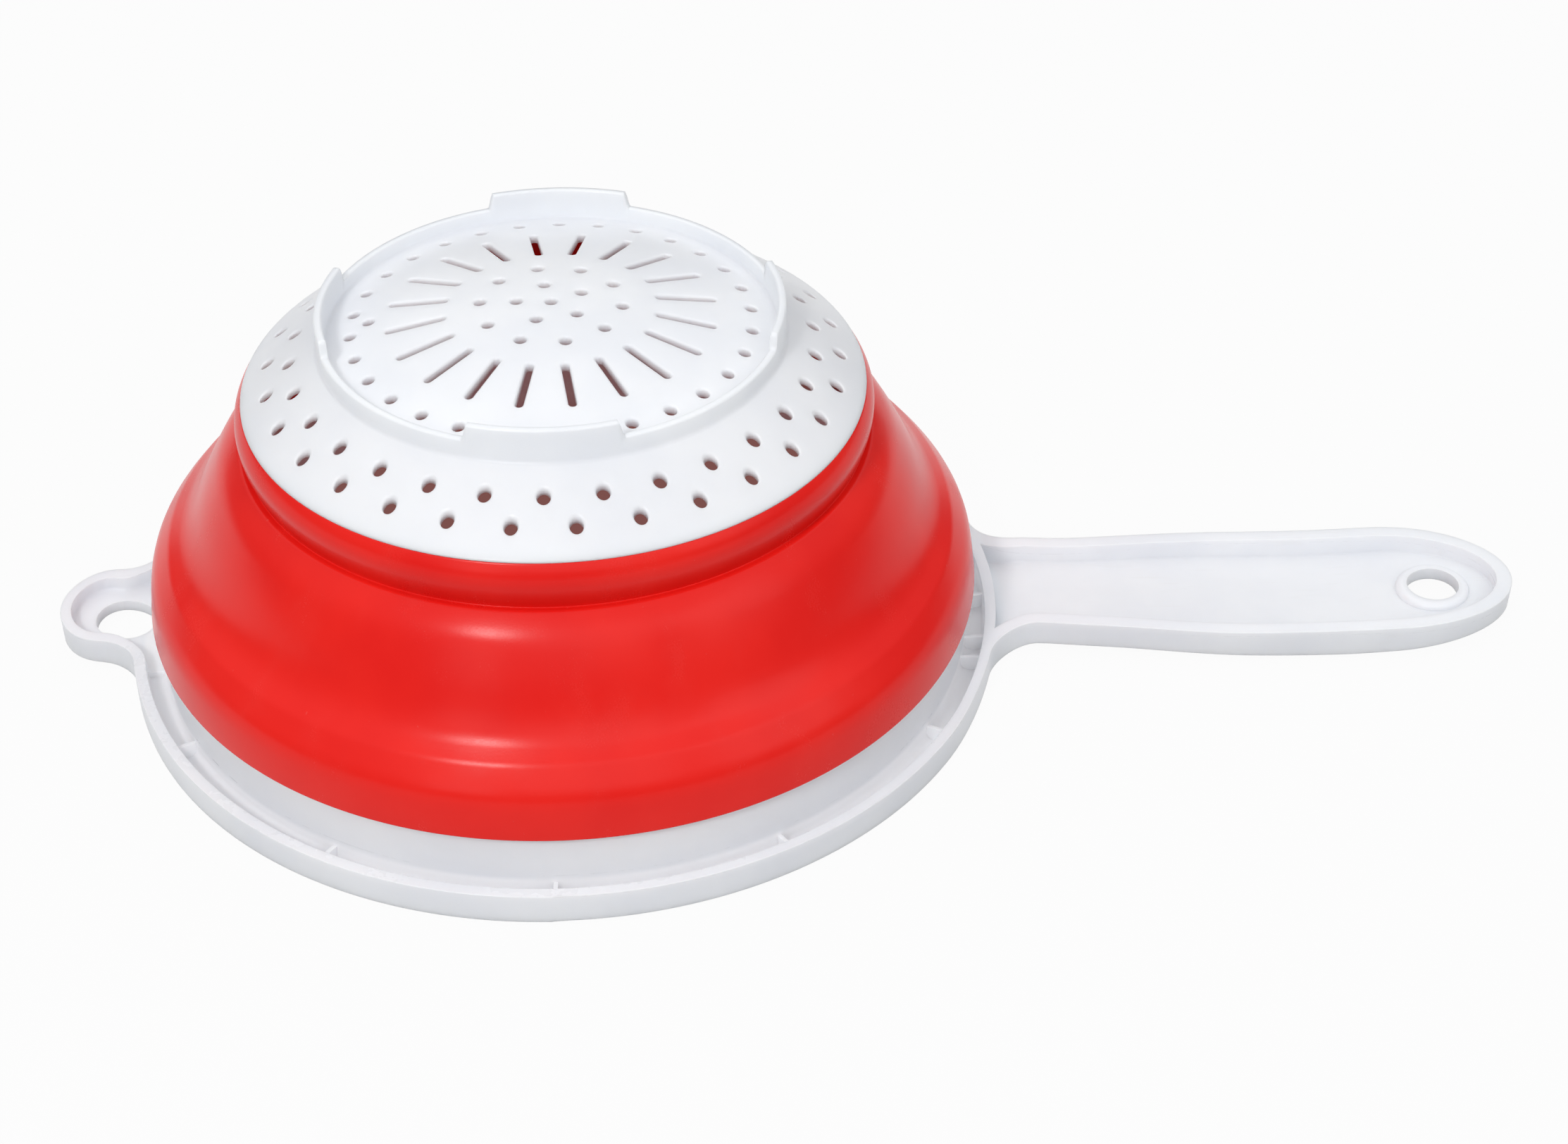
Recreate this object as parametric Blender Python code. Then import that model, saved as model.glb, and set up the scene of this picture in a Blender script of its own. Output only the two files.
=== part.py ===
"""Collapsible colander, standing upside down on its rim as it is stored.

A white rim frame carries a long channel handle and a small helper loop. A soft
red wall hangs between that frame and a white, domed strainer base with a foot
ring. The wall folds through its middle band, so the base sinks into the rim.

The model is in metres with +Z up. The table plane is z = 0, the handle points
along +X, and the world origin lies under the middle of the whole outline, so
the bowl's axis stands at x = BOWL_X.
"""

import math

import bmesh
import bpy

MM = 0.001

# General fits and helpers
GAP = 0.3 * MM
CUT_OVERRUN = 3.0 * MM
MERGE_DISTANCE = 0.01 * MM
WALL_STEPS = 70
BASE_STEPS = 50
ARC_STEP_DEG = 5.0

# Rim frame: ring
RIM_OUTER_R = 115.0 * MM
SKIRT_HEIGHT = 8.3 * MM
SKIRT_THICK = 3.0 * MM
DECK_THICK = 2.2 * MM
CREST_ROUND = 1.1 * MM
GUTTER_WIDTH = 4.3 * MM
COLLAR_THICK = 2.2 * MM
COLLAR_HEIGHT = 27.0 * MM
RIB_THICK = 1.1 * MM
RIB_HEIGHT = 6.2 * MM
RIB_COUNT = 12
ROOT_RIB_OFFSETS_DEG = (-14.0, -9.5, 9.5, 14.0)

# Rim frame: handle
HANDLE_REACH = 143.5 * MM
HANDLE_END_LENGTH = 35.0 * MM
HANDLE_HALF_WIDTH = 22.9 * MM
HANDLE_NECK_LENGTH = 13.0 * MM
HANDLE_NECK_HALF_WIDTH = 19.4 * MM
HANDLE_TAPER_LENGTH = 60.0 * MM
HANDLE_LIP_THICK = 4.2 * MM
HANDLE_FILLET_R = 12.0 * MM
HANDLE_SIDE_STEPS = 9
HANDLE_END_STEPS = 14
HANG_HOLE_INSET = 20.9 * MM
HANG_HOLE_R = 7.0 * MM
HANG_COLLAR_WIDTH = 2.9 * MM
HANG_COLLAR_HEIGHT = 4.2 * MM

# Rim frame: helper loop
LOOP_REACH = 8.5 * MM
LOOP_R = 15.0 * MM
LOOP_FILLET_R = 9.0 * MM
LOOP_FLOOR = 3.4 * MM
LOOP_HOLE_REACH = 4.3 * MM
LOOP_HOLE_R = 8.2 * MM

# Soft wall, from the rim to the base
WALL_THICK = 2.0 * MM
LIP_THICK = 1.5 * MM
COLLAR_LAP = 6.0 * MM
SHOULDER_INSET = 9.7 * MM
SHOULDER_RISE = 12.3 * MM
SHOULDER_BULGE_INSET = 0.3 * MM
SHOULDER_BULGE_DROP = 2.9 * MM
SHOULDER_STEPS = 5
FOLD_RUN = 16.6 * MM
FOLD_RISE = 28.1 * MM
INNER_BAND_HEIGHT = 12.5 * MM
INNER_BAND_SWELL = 0.6 * MM
INNER_BAND_DRAW_IN = 0.5 * MM
INNER_BAND_TAPER = 2.0 * MM
INNER_BAND_SHARES = (0.16, 0.656)

# Strainer base
BASE_THICK = 2.0 * MM
BASE_LEDGE = 1.4 * MM
BASE_FLANGE_THICK = 1.8 * MM
BASE_FLANGE_LIFT = 1.2 * MM
CONE_RUN = 19.0 * MM
CONE_RISE = 12.9 * MM
CONE_LOWER_SHARES = (0.374, 0.419)
CONE_UPPER_SHARES = (0.7, 0.752)
DOME_RISE = 9.8 * MM
DOME_STEPS = 4
FOOT_THICK = 2.0 * MM
FOOT_HEIGHT = 5.2 * MM
FOOT_TAB_HEIGHT = 5.0 * MM
FOOT_TAB_COUNT = 4
FOOT_TAB_HALF_DEG = 17.5
FOOT_TAB_SLOPE_DEG = 1.8
FOOT_TAB_STEPS = 8
TAB_RECESS_SHARE = 0.1

# Perforations of the base
HOLE_SIDES = 8
CENTRE_HOLE_R = 1.9 * MM
INNER_HOLES_SHARE = 0.2
INNER_HOLES_COUNT = 5
MIDDLE_HOLES_SHARE = 0.4115
MIDDLE_HOLES_COUNT = 10
CENTRE_PATTERN_DEG = 31.3
SLOT_COUNT = 20
SLOT_INSET = 6.8 * MM
SLOT_INNER_SHARE = 0.6115
SLOT_WIDTH = 2.4 * MM
SLOT_FIRST_DEG = 9.0
SLOT_END_STEPS = 3
EDGE_HOLES_INSET = 10.1 * MM
EDGE_HOLES_COUNT = 30
EDGE_HOLE_R = 1.8 * MM
SPARE_HOLE_INSET = 4.5 * MM
SPARE_HOLE_DEG = 180.0
CONE_HOLE_R = 2.1 * MM

# Finishes
WHITE = (0.87, 0.89, 0.93)
WHITE_ROUGHNESS = 0.32
RED = (0.72, 0.035, 0.025)
RED_ROUGHNESS = 0.42

# Places worked out from the sizes above
GUTTER_OUTER_R = RIM_OUTER_R - SKIRT_THICK
COLLAR_OUTER_R = GUTTER_OUTER_R - GUTTER_WIDTH
COLLAR_INNER_R = COLLAR_OUTER_R - COLLAR_THICK
HANDLE_TIP_X = RIM_OUTER_R + HANDLE_REACH
HANDLE_END_X = HANDLE_TIP_X - HANDLE_END_LENGTH
HANDLE_NECK_X = RIM_OUTER_R + HANDLE_NECK_LENGTH
HANG_HOLE_X = HANDLE_TIP_X - HANG_HOLE_INSET
HANG_COLLAR_R = HANG_HOLE_R + HANG_COLLAR_WIDTH
LOOP_CENTRE_X = -(RIM_OUTER_R + LOOP_REACH)
LOOP_HOLE_X = -(RIM_OUTER_R + LOOP_HOLE_REACH)
BOWL_X = -(HANDLE_TIP_X + LOOP_CENTRE_X - LOOP_R) / 2.0
WALL_EDGE_R = COLLAR_OUTER_R + GAP + LIP_THICK
WALL_EDGE_Z = COLLAR_HEIGHT - COLLAR_LAP
SHOULDER_R = COLLAR_OUTER_R - SHOULDER_INSET
SHOULDER_Z = COLLAR_HEIGHT + SHOULDER_RISE
GROOVE_R = SHOULDER_R - FOLD_RUN
GROOVE_Z = SHOULDER_Z + FOLD_RISE
BASE_EDGE_R = GROOVE_R - INNER_BAND_TAPER
BASE_EDGE_Z = GROOVE_Z + INNER_BAND_HEIGHT
BASE_FLANGE_R = BASE_EDGE_R - BASE_LEDGE
BASE_FLANGE_LOW_Z = GROOVE_Z + BASE_FLANGE_LIFT
FOOT_OUTER_R = BASE_EDGE_R - CONE_RUN
FOOT_BASE_Z = BASE_EDGE_Z + CONE_RISE
FOOT_TOP_Z = FOOT_BASE_Z + FOOT_HEIGHT
FOOT_TAB_TOP_Z = FOOT_TOP_Z + FOOT_TAB_HEIGHT
DOME_TOP_Z = FOOT_BASE_Z + DOME_RISE
EDGE_HOLES_R = FOOT_OUTER_R - EDGE_HOLES_INSET
SPARE_HOLE_R = EDGE_HOLES_R - SPARE_HOLE_INSET
SLOT_OUTER_R = EDGE_HOLES_R - SLOT_INSET
SLOT_INNER_R = SLOT_OUTER_R * SLOT_INNER_SHARE
MIDDLE_HOLES_R = SLOT_OUTER_R * MIDDLE_HOLES_SHARE
INNER_HOLES_R = SLOT_OUTER_R * INNER_HOLES_SHARE


def smooth_step(value):
    """Ease a share between 0 and 1 at both of its ends."""
    share = min(max(value, 0.0), 1.0)
    return share * share * (3.0 - 2.0 * share)


def polar(radius, degrees, centre=(0.0, 0.0)):
    """Return the plan point at a radius and an angle about a centre."""
    angle = math.radians(degrees)
    return (centre[0] + radius * math.cos(angle), centre[1] + radius * math.sin(angle))


def angle_of(point, centre=(0.0, 0.0)):
    """Return the angle in degrees of a plan point seen from a centre."""
    return math.degrees(math.atan2(point[1] - centre[1], point[0] - centre[0]))


def arc(radius, start_deg, end_deg, centre=(0.0, 0.0)):
    """Return plan points along an arc, both ends included."""
    steps = max(2, math.ceil(abs(end_deg - start_deg) * math.sqrt(radius / RIM_OUTER_R) / ARC_STEP_DEG))
    return [polar(radius, start_deg + (end_deg - start_deg) * i / steps, centre) for i in range(steps + 1)]


def circles_meet(first, first_r, second, second_r):
    """Return the meeting point of two circles that has the larger y."""
    dx = second[0] - first[0]
    dy = second[1] - first[1]
    distance = math.hypot(dx, dy)
    along = (first_r ** 2 - second_r ** 2 + distance ** 2) / (2.0 * distance)
    across = math.sqrt(max(first_r ** 2 - along ** 2, 0.0))
    foot = (first[0] + along * dx / distance, first[1] + along * dy / distance)
    step = (-across * dy / distance, across * dx / distance)
    either = [(foot[0] + side * step[0], foot[1] + side * step[1]) for side in (1, -1)]
    return max(either, key=lambda point: point[1])


def lines_meet(start, direction, other_start, other_direction):
    """Return the crossing of two straight lines in a plane."""
    cross = direction[0] * other_direction[1] - direction[1] * other_direction[0]
    dx = other_start[0] - start[0]
    dy = other_start[1] - start[1]
    share = (dx * other_direction[1] - dy * other_direction[0]) / cross
    return (start[0] + share * direction[0], start[1] + share * direction[1])


def between(start, end):
    """Return the unit direction from one point of a plane to another."""
    length = math.hypot(end[0] - start[0], end[1] - start[1])
    return ((end[0] - start[0]) / length, (end[1] - start[1]) / length)


def offset_side(points, distance):
    """Shift a section line to its right by a wall thickness, mitred at each corner."""
    shifted = []
    for index, point in enumerate(points):
        before = between(points[max(index - 1, 0)], points[max(index, 1)])
        last = len(points) - 1
        after = between(points[min(index, last - 1)], points[min(index + 1, last)])
        normal = (before[1] + after[1], -before[0] - after[0])
        scale = distance * 2.0 / (normal[0] ** 2 + normal[1] ** 2)
        shifted.append((point[0] + normal[0] * scale, point[1] + normal[1] * scale))
    return shifted


def mirrored(half):
    """Close an outline whose first and last points lie on the X axis."""
    return half + [(x, -y) for x, y in reversed(half[1:-1])]


# Plan of the rim frame


def handle_half_width(x, inset):
    """Return the handle's half width at a distance from the bowl's axis."""
    share = smooth_step((x - HANDLE_NECK_X) / HANDLE_TAPER_LENGTH)
    return HANDLE_NECK_HALF_WIDTH + (HANDLE_HALF_WIDTH - HANDLE_NECK_HALF_WIDTH) * share - inset


def handle_fillet_centre():
    """Return the centre of the fillet between the ring and the handle's side."""
    y = HANDLE_NECK_HALF_WIDTH + HANDLE_FILLET_R
    return (math.sqrt((RIM_OUTER_R + HANDLE_FILLET_R) ** 2 - y ** 2), y)


def loop_fillet_centre():
    """Return the centre of the fillet between the ring and the helper loop."""
    to_ring = RIM_OUTER_R + LOOP_FILLET_R
    to_loop = LOOP_R + LOOP_FILLET_R
    return circles_meet((0.0, 0.0), to_ring, (LOOP_CENTRE_X, 0.0), to_loop)


def handle_half(inset, fillet_end_deg):
    """Return half of the handle's outline, from its tip to the end of its fillet."""
    length = HANDLE_TIP_X - HANDLE_END_X - inset
    width = HANDLE_HALF_WIDTH - inset
    points = []
    for step in range(HANDLE_END_STEPS):
        angle = math.pi / 2.0 * step / HANDLE_END_STEPS
        points.append((HANDLE_END_X + length * math.cos(angle), width * math.sin(angle)))
    centre = handle_fillet_centre()
    for step in range(HANDLE_SIDE_STEPS):
        x = HANDLE_END_X + (centre[0] - HANDLE_END_X) * step / HANDLE_SIDE_STEPS
        points.append((x, handle_half_width(x, inset)))
    return points + arc(HANDLE_FILLET_R + inset, 270.0, fillet_end_deg, centre)


def loop_half(inset, fillet_start_deg):
    """Return half of the helper loop's outline, from its fillet to its tip."""
    fillet = loop_fillet_centre()
    centre = (LOOP_CENTRE_X, 0.0)
    turn = 360.0 + angle_of(centre, fillet)
    points = arc(LOOP_FILLET_R + inset, fillet_start_deg, turn, fillet)
    return points + arc(LOOP_R - inset, angle_of(fillet, centre), 180.0, centre)[1:]


def frame_outline():
    """Return the outline of the ring with its handle and its helper loop."""
    handle_deg = angle_of(handle_fillet_centre())
    loop_deg = angle_of(loop_fillet_centre())
    half = handle_half(0.0, 180.0 + handle_deg)
    half += arc(RIM_OUTER_R, handle_deg, loop_deg)[1:-1]
    half += loop_half(0.0, 180.0 + loop_deg)
    return mirrored(half)


def handle_pocket():
    """Return the outline of the channel in the handle, which ends at the ring's wall."""
    centre = handle_fillet_centre()
    corner = circles_meet((0.0, 0.0), RIM_OUTER_R, centre, HANDLE_FILLET_R + HANDLE_LIP_THICK)
    lowest = polar(RIM_OUTER_R, angle_of(corner))
    end_deg = 360.0 + angle_of(lowest, centre)
    half = handle_half(HANDLE_LIP_THICK, end_deg)
    half += arc(RIM_OUTER_R, angle_of(lowest), 0.0)[1:]
    return mirrored(half)


def loop_pocket():
    """Return the outline of the helper loop's recess, which opens into the ring's gutter."""
    loop_deg = angle_of(loop_fillet_centre())
    inner = (COLLAR_OUTER_R + GUTTER_OUTER_R) / 2.0
    half = arc(inner, 180.0, loop_deg)
    half += loop_half(SKIRT_THICK, 180.0 + loop_deg)
    return mirrored(half)


# Mesh helpers


def clear_scene():
    """Remove every object that the file opened with."""
    for item in list(bpy.data.objects):
        bpy.data.objects.remove(item, do_unlink=True)


def plastic(name, colour, roughness):
    """Make a plain material with a colour and a roughness."""
    material = bpy.data.materials.new(name)
    material.use_nodes = True
    shader = material.node_tree.nodes["Principled BSDF"]
    shader.inputs["Base Color"].default_value = (*colour, 1.0)
    shader.inputs["Roughness"].default_value = roughness
    shader.inputs["Metallic"].default_value = 0.0
    return material


def make_object(name, shape, material=None, parent=None):
    """Turn a bmesh into a named object, with its faces pointing out."""
    mesh = bpy.data.meshes.new(name)
    shape.to_mesh(mesh)
    shape.free()
    item = bpy.data.objects.new(name, mesh)
    bpy.context.scene.collection.objects.link(item)
    item.parent = parent
    if material:
        mesh.materials.append(material)
    return item


def make_cutter(name, shape, parent):
    """Make an object that only shapes another one."""
    item = make_object(name, shape, parent=parent)
    item.hide_render = True
    item.display_type = "WIRE"
    return item


def add_prism(shape, outline, low, high):
    """Add a closed upright prism on an outline that runs anticlockwise."""
    bottom = [shape.verts.new((x, y, low)) for x, y in outline]
    top = [shape.verts.new((x, y, high)) for x, y in outline]
    shape.faces.new(list(reversed(bottom)))
    shape.faces.new(top)
    for index in range(len(outline)):
        following = (index + 1) % len(outline)
        shape.faces.new((bottom[index], bottom[following], top[following], top[index]))


def prisms(outlines, low, high):
    """Return a bmesh with one upright prism for each outline."""
    shape = bmesh.new()
    for outline in outlines:
        add_prism(shape, outline, low, high)
    return shape


def circle(radius, sides, centre=(0.0, 0.0), first_deg=0.0):
    """Return the outline of a regular polygon that stands for a circle."""
    return [polar(radius, first_deg + 360.0 * side / sides, centre) for side in range(sides)]


def turned(name, profile, steps, material, parent, closed):
    """Turn a section about the bowl's axis with a Screw modifier."""
    shape = bmesh.new()
    points = [shape.verts.new((r, 0.0, z)) for r, z in profile]
    for index in range(len(points) - 1):
        shape.edges.new((points[index], points[index + 1]))
    if closed:
        shape.edges.new((points[-1], points[0]))
    item = make_object(name, shape, material, parent)
    screw = item.modifiers.new("turn", "SCREW")
    screw.steps = steps
    screw.render_steps = steps
    screw.use_merge_vertices = True
    screw.merge_threshold = MERGE_DISTANCE
    screw.use_smooth_shade = True
    return item


def combine(item, operand, operation):
    """Cut an operand from an object, or join it on, with a Boolean modifier."""
    boolean = item.modifiers.new(operand.name, "BOOLEAN")
    boolean.operation = operation
    boolean.solver = "EXACT"
    boolean.object = operand


# Rim frame


def rib_outlines():
    """Return the short ribs that cross the ring's gutter."""
    angles = [360.0 * index / RIB_COUNT for index in range(RIB_COUNT)]
    angles += list(ROOT_RIB_OFFSETS_DEG)
    inner = COLLAR_OUTER_R - COLLAR_THICK / 2.0
    outer = GUTTER_OUTER_R + SKIRT_THICK / 2.0
    half = RIB_THICK / 2.0
    outlines = []
    for degrees in angles:
        if abs(degrees - 180.0) < 1.0:
            continue
        turn = math.radians(degrees)
        corners = ((inner, -half), (outer, -half), (outer, half), (inner, half))
        outlines.append([
            (x * math.cos(turn) - y * math.sin(turn), x * math.sin(turn) + y * math.cos(turn))
            for x, y in corners
        ])
    return outlines


def build_rim_frame(parent, material):
    """Make the ring, its upstanding collar, the handle and the helper loop in one piece."""
    frame = make_object("rim_frame", prisms([frame_outline()], 0.0, SKIRT_HEIGHT), material, parent)
    bevel = frame.modifiers.new("crest", "BEVEL")
    bevel.width = CREST_ROUND
    bevel.segments = 2
    bevel.limit_method = "ANGLE"
    bevel.angle_limit = math.radians(60.0)
    above = SKIRT_HEIGHT + CUT_OVERRUN
    gutter = bmesh.new()
    outer = circle(GUTTER_OUTER_R, WALL_STEPS)
    add_prism(gutter, outer, DECK_THICK, above)
    combine(frame, make_cutter("gutter_cut", gutter, parent), "DIFFERENCE")
    handle = prisms([handle_pocket()], DECK_THICK, above)
    combine(frame, make_cutter("handle_channel_cut", handle, parent), "DIFFERENCE")
    loop = prisms([loop_pocket()], LOOP_FLOOR, above)
    combine(frame, make_cutter("loop_recess_cut", loop, parent), "DIFFERENCE")
    root = DECK_THICK / 2.0
    collar = prisms([circle(COLLAR_OUTER_R, WALL_STEPS)], root, COLLAR_HEIGHT)
    combine(frame, make_cutter("collar_join", collar, parent), "UNION")
    ribs = prisms(rib_outlines(), root, RIB_HEIGHT)
    combine(frame, make_cutter("ribs_join", ribs, parent), "UNION")
    boss = prisms([circle(HANG_COLLAR_R, 2 * HOLE_SIDES, (HANG_HOLE_X, 0.0))], root, HANG_COLLAR_HEIGHT)
    combine(frame, make_cutter("hanging_boss_join", boss, parent), "UNION")
    holes = bmesh.new()
    top = COLLAR_HEIGHT + CUT_OVERRUN
    add_prism(holes, circle(COLLAR_INNER_R, WALL_STEPS), -CUT_OVERRUN, top)
    add_prism(holes, circle(HANG_HOLE_R, 2 * HOLE_SIDES, (HANG_HOLE_X, 0.0)), -CUT_OVERRUN, top)
    add_prism(holes, circle(LOOP_HOLE_R, 2 * HOLE_SIDES, (LOOP_HOLE_X, 0.0)), -CUT_OVERRUN, top)
    combine(frame, make_cutter("through_cuts", holes, parent), "DIFFERENCE")
    return frame


# Soft wall


def shoulder_curve():
    """Return the outer side of the lowest band, from its fold down to its edge."""
    start = (SHOULDER_R, SHOULDER_Z)
    pull = (WALL_EDGE_R - SHOULDER_BULGE_INSET, SHOULDER_Z - SHOULDER_BULGE_DROP)
    end = (WALL_EDGE_R, WALL_EDGE_Z)
    points = []
    for step in range(SHOULDER_STEPS + 1):
        t = step / SHOULDER_STEPS
        weights = ((1.0 - t) ** 2, 2.0 * t * (1.0 - t), t ** 2)
        points.append(tuple(
            weights[0] * start[axis] + weights[1] * pull[axis] + weights[2] * end[axis] for axis in (0, 1)
        ))
    return points


def fold_wall_width():
    """Return the folding band's thickness as measured level, across its slope."""
    slope = between((GROOVE_R, GROOVE_Z), (SHOULDER_R, SHOULDER_Z))
    return WALL_THICK / abs(slope[1])


def build_outer_band(parent, material):
    """Make the lowest band of the wall, which grips the rim's collar."""
    outer = shoulder_curve()
    seat_r = COLLAR_OUTER_R + GAP
    seat_z = COLLAR_HEIGHT + GAP
    inner = offset_side(outer, WALL_THICK)
    top_inner = (SHOULDER_R - fold_wall_width(), SHOULDER_Z)
    slope = between((GROOVE_R, GROOVE_Z), (SHOULDER_R, SHOULDER_Z))
    corner = lines_meet(top_inner, slope, inner[0], between(inner[0], inner[1]))
    inside = [top_inner, corner] + [point for point in inner[1:] if point[1] > seat_z + WALL_THICK]
    inside += [(COLLAR_INNER_R, seat_z), (seat_r, seat_z), (seat_r, WALL_EDGE_Z)]
    return turned("wall_outer_band", outer + list(reversed(inside)), WALL_STEPS, material, parent, True)


def build_fold_band(parent, material):
    """Make the middle band of the wall, which turns inside out as the colander folds."""
    slope = between((GROOVE_R, GROOVE_Z), (SHOULDER_R, SHOULDER_Z))
    low_z = SHOULDER_Z + GAP
    low_r = SHOULDER_R - GAP * slope[0] / abs(slope[1])
    width = fold_wall_width()
    section = [(GROOVE_R, GROOVE_Z), (low_r, low_z), (low_r - width, low_z), (GROOVE_R - width, GROOVE_Z)]
    return turned("wall_fold_band", section, WALL_STEPS, material, parent, True)


def build_inner_band(parent, material):
    """Make the highest band of the wall, which grips the flange of the base."""
    seat_r = BASE_FLANGE_R + GAP
    top_z = BASE_EDGE_Z - GAP
    low_z = GROOVE_Z + GAP
    section = [
        (BASE_EDGE_R, top_z),
        (GROOVE_R - INNER_BAND_DRAW_IN, GROOVE_Z + INNER_BAND_HEIGHT * INNER_BAND_SHARES[1]),
        (GROOVE_R + INNER_BAND_SWELL, GROOVE_Z + INNER_BAND_HEIGHT * INNER_BAND_SHARES[0]),
        (GROOVE_R, low_z),
        (seat_r, low_z),
        (seat_r, top_z),
    ]
    return turned("wall_inner_band", section, WALL_STEPS, material, parent, True)


# Strainer base


def dome_height(radius):
    """Return the height of the dome's upper face at a radius."""
    return DOME_TOP_Z - DOME_RISE * (radius / FOOT_OUTER_R) ** 2


def cone_point(shares):
    """Return a point of the cone at shares of its run and of its rise."""
    return (BASE_EDGE_R - CONE_RUN * shares[0], BASE_EDGE_Z + CONE_RISE * shares[1])


def base_section():
    """Return the base's section, from the top of its axis round to the underside."""
    foot_inner_r = FOOT_OUTER_R - FOOT_THICK
    radii = [foot_inner_r * step / DOME_STEPS for step in range(DOME_STEPS + 1)]
    dome = [(radius, dome_height(radius)) for radius in radii]
    cone = [cone_point(CONE_UPPER_SHARES), cone_point(CONE_LOWER_SHARES), (BASE_EDGE_R, BASE_EDGE_Z)]
    foot = [(foot_inner_r, FOOT_TOP_Z), (FOOT_OUTER_R, FOOT_TOP_Z), (FOOT_OUTER_R, FOOT_BASE_Z)]
    flange_inner_r = BASE_FLANGE_R - BASE_FLANGE_THICK
    shell = dome + [foot[-1]] + cone
    under = offset_side(shell, BASE_THICK)
    meet = lines_meet((flange_inner_r, 0.0), (0.0, 1.0), under[-2], between(under[-2], under[-1]))
    flange = [
        (BASE_FLANGE_R, BASE_EDGE_Z),
        (BASE_FLANGE_R, BASE_FLANGE_LOW_Z),
        (flange_inner_r, BASE_FLANGE_LOW_Z),
        meet,
    ]
    inside = [point for point in under[1:-1] if point[0] < flange_inner_r]
    return dome + foot + cone + flange + list(reversed(inside)) + [(0.0, DOME_TOP_Z - BASE_THICK)]


def slot_outline(degrees):
    """Return the outline of one radial slot with round ends."""
    half = SLOT_WIDTH / 2.0
    outer = polar(SLOT_OUTER_R - half, degrees)
    inner = polar(SLOT_INNER_R + half, degrees)
    points = []
    for centre, first in ((outer, degrees - 90.0), (inner, degrees + 90.0)):
        for step in range(SLOT_END_STEPS + 1):
            points.append(polar(half, first + 180.0 * step / SLOT_END_STEPS, centre))
    return points


def hole_ring(shape, ring_r, count, hole_r, first_deg, low, high):
    """Add cutters for a ring of equally spaced round holes."""
    for index in range(count):
        degrees = first_deg + 360.0 * index / count
        centre = polar(ring_r, degrees)
        add_prism(shape, circle(hole_r, HOLE_SIDES, centre, degrees + 180.0 / HOLE_SIDES), low, high)


def perforations():
    """Return the cutters for every hole and slot of the base."""
    shape = bmesh.new()
    low = BASE_FLANGE_LOW_Z
    high = FOOT_TAB_TOP_Z + CUT_OVERRUN
    pitch = 360.0 / EDGE_HOLES_COUNT
    add_prism(shape, circle(CENTRE_HOLE_R, HOLE_SIDES, (0.0, 0.0), 90.0 / BASE_STEPS), low, high)
    hole_ring(shape, INNER_HOLES_R, INNER_HOLES_COUNT, CENTRE_HOLE_R, CENTRE_PATTERN_DEG, low, high)
    hole_ring(shape, MIDDLE_HOLES_R, MIDDLE_HOLES_COUNT, CENTRE_HOLE_R, CENTRE_PATTERN_DEG, low, high)
    hole_ring(shape, EDGE_HOLES_R, EDGE_HOLES_COUNT, EDGE_HOLE_R, pitch / 2.0, low, high)
    hole_ring(shape, SPARE_HOLE_R, 1, EDGE_HOLE_R, SPARE_HOLE_DEG, low, high)
    hole_ring(shape, cone_point(CONE_UPPER_SHARES)[0], EDGE_HOLES_COUNT, CONE_HOLE_R, pitch / 2.0, low, high)
    hole_ring(shape, cone_point(CONE_LOWER_SHARES)[0], EDGE_HOLES_COUNT, CONE_HOLE_R, 0.0, low, high)
    for index in range(SLOT_COUNT):
        add_prism(shape, slot_outline(SLOT_FIRST_DEG + 360.0 * index / SLOT_COUNT), low, high)
    return shape


def foot_tabs():
    """Return the four tabs that stand on the foot ring, narrower at the top."""
    shape = bmesh.new()
    recess = FOOT_THICK * TAB_RECESS_SHARE
    inner_r = FOOT_OUTER_R - FOOT_THICK + recess
    outer_r = FOOT_OUTER_R - recess
    low = (FOOT_TOP_Z + FOOT_BASE_Z) / 2.0
    for tab in range(FOOT_TAB_COUNT):
        middle = 360.0 * tab / FOOT_TAB_COUNT
        rows = []
        wide_deg = FOOT_TAB_HALF_DEG + FOOT_TAB_SLOPE_DEG
        for height, half_deg in ((low, wide_deg), (FOOT_TAB_TOP_Z, FOOT_TAB_HALF_DEG)):
            shares = [2.0 * step / FOOT_TAB_STEPS - 1.0 for step in range(FOOT_TAB_STEPS + 1)]
            outer = [polar(outer_r, middle + half_deg * share) for share in shares]
            inner = [polar(inner_r, middle + half_deg * share) for share in reversed(shares)]
            rows.append([shape.verts.new((x, y, height)) for x, y in outer + inner])
        bottom, top = rows
        shape.faces.new(list(reversed(bottom)))
        shape.faces.new(top)
        for index in range(len(top)):
            following = (index + 1) % len(top)
            shape.faces.new((bottom[index], bottom[following], top[following], top[index]))
    return shape


def build_strainer_base(parent, material):
    """Make the domed, perforated base with its foot ring and its flange."""
    base = turned("strainer_base", base_section(), BASE_STEPS, material, parent, False)
    combine(base, make_cutter("foot_tabs_join", foot_tabs(), parent), "UNION")
    combine(base, make_cutter("perforation_cuts", perforations(), parent), "DIFFERENCE")
    return base


def main():
    """Build the whole colander."""
    clear_scene()
    white = plastic("white_plastic", WHITE, WHITE_ROUGHNESS)
    red = plastic("red_elastomer", RED, RED_ROUGHNESS)
    axis = bpy.data.objects.new("bowl_axis", None)
    bpy.context.scene.collection.objects.link(axis)
    axis.location = (BOWL_X, 0.0, 0.0)
    build_rim_frame(axis, white)
    build_outer_band(axis, red)
    build_fold_band(axis, red)
    build_inner_band(axis, red)
    build_strainer_base(axis, white)


main()
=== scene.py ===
"""Collapsible colander on its rim: white rim frame, red folding wall and white strainer base.

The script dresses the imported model. Each class builds one moulding at its real size, in metres,
and the studio round it has a pale floor, soft lamps and one camera.
"""

import logging
import math
from contextlib import contextmanager
from dataclasses import dataclass, replace
from enum import Enum
from typing import Callable, Iterator, Sequence, Union

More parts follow.
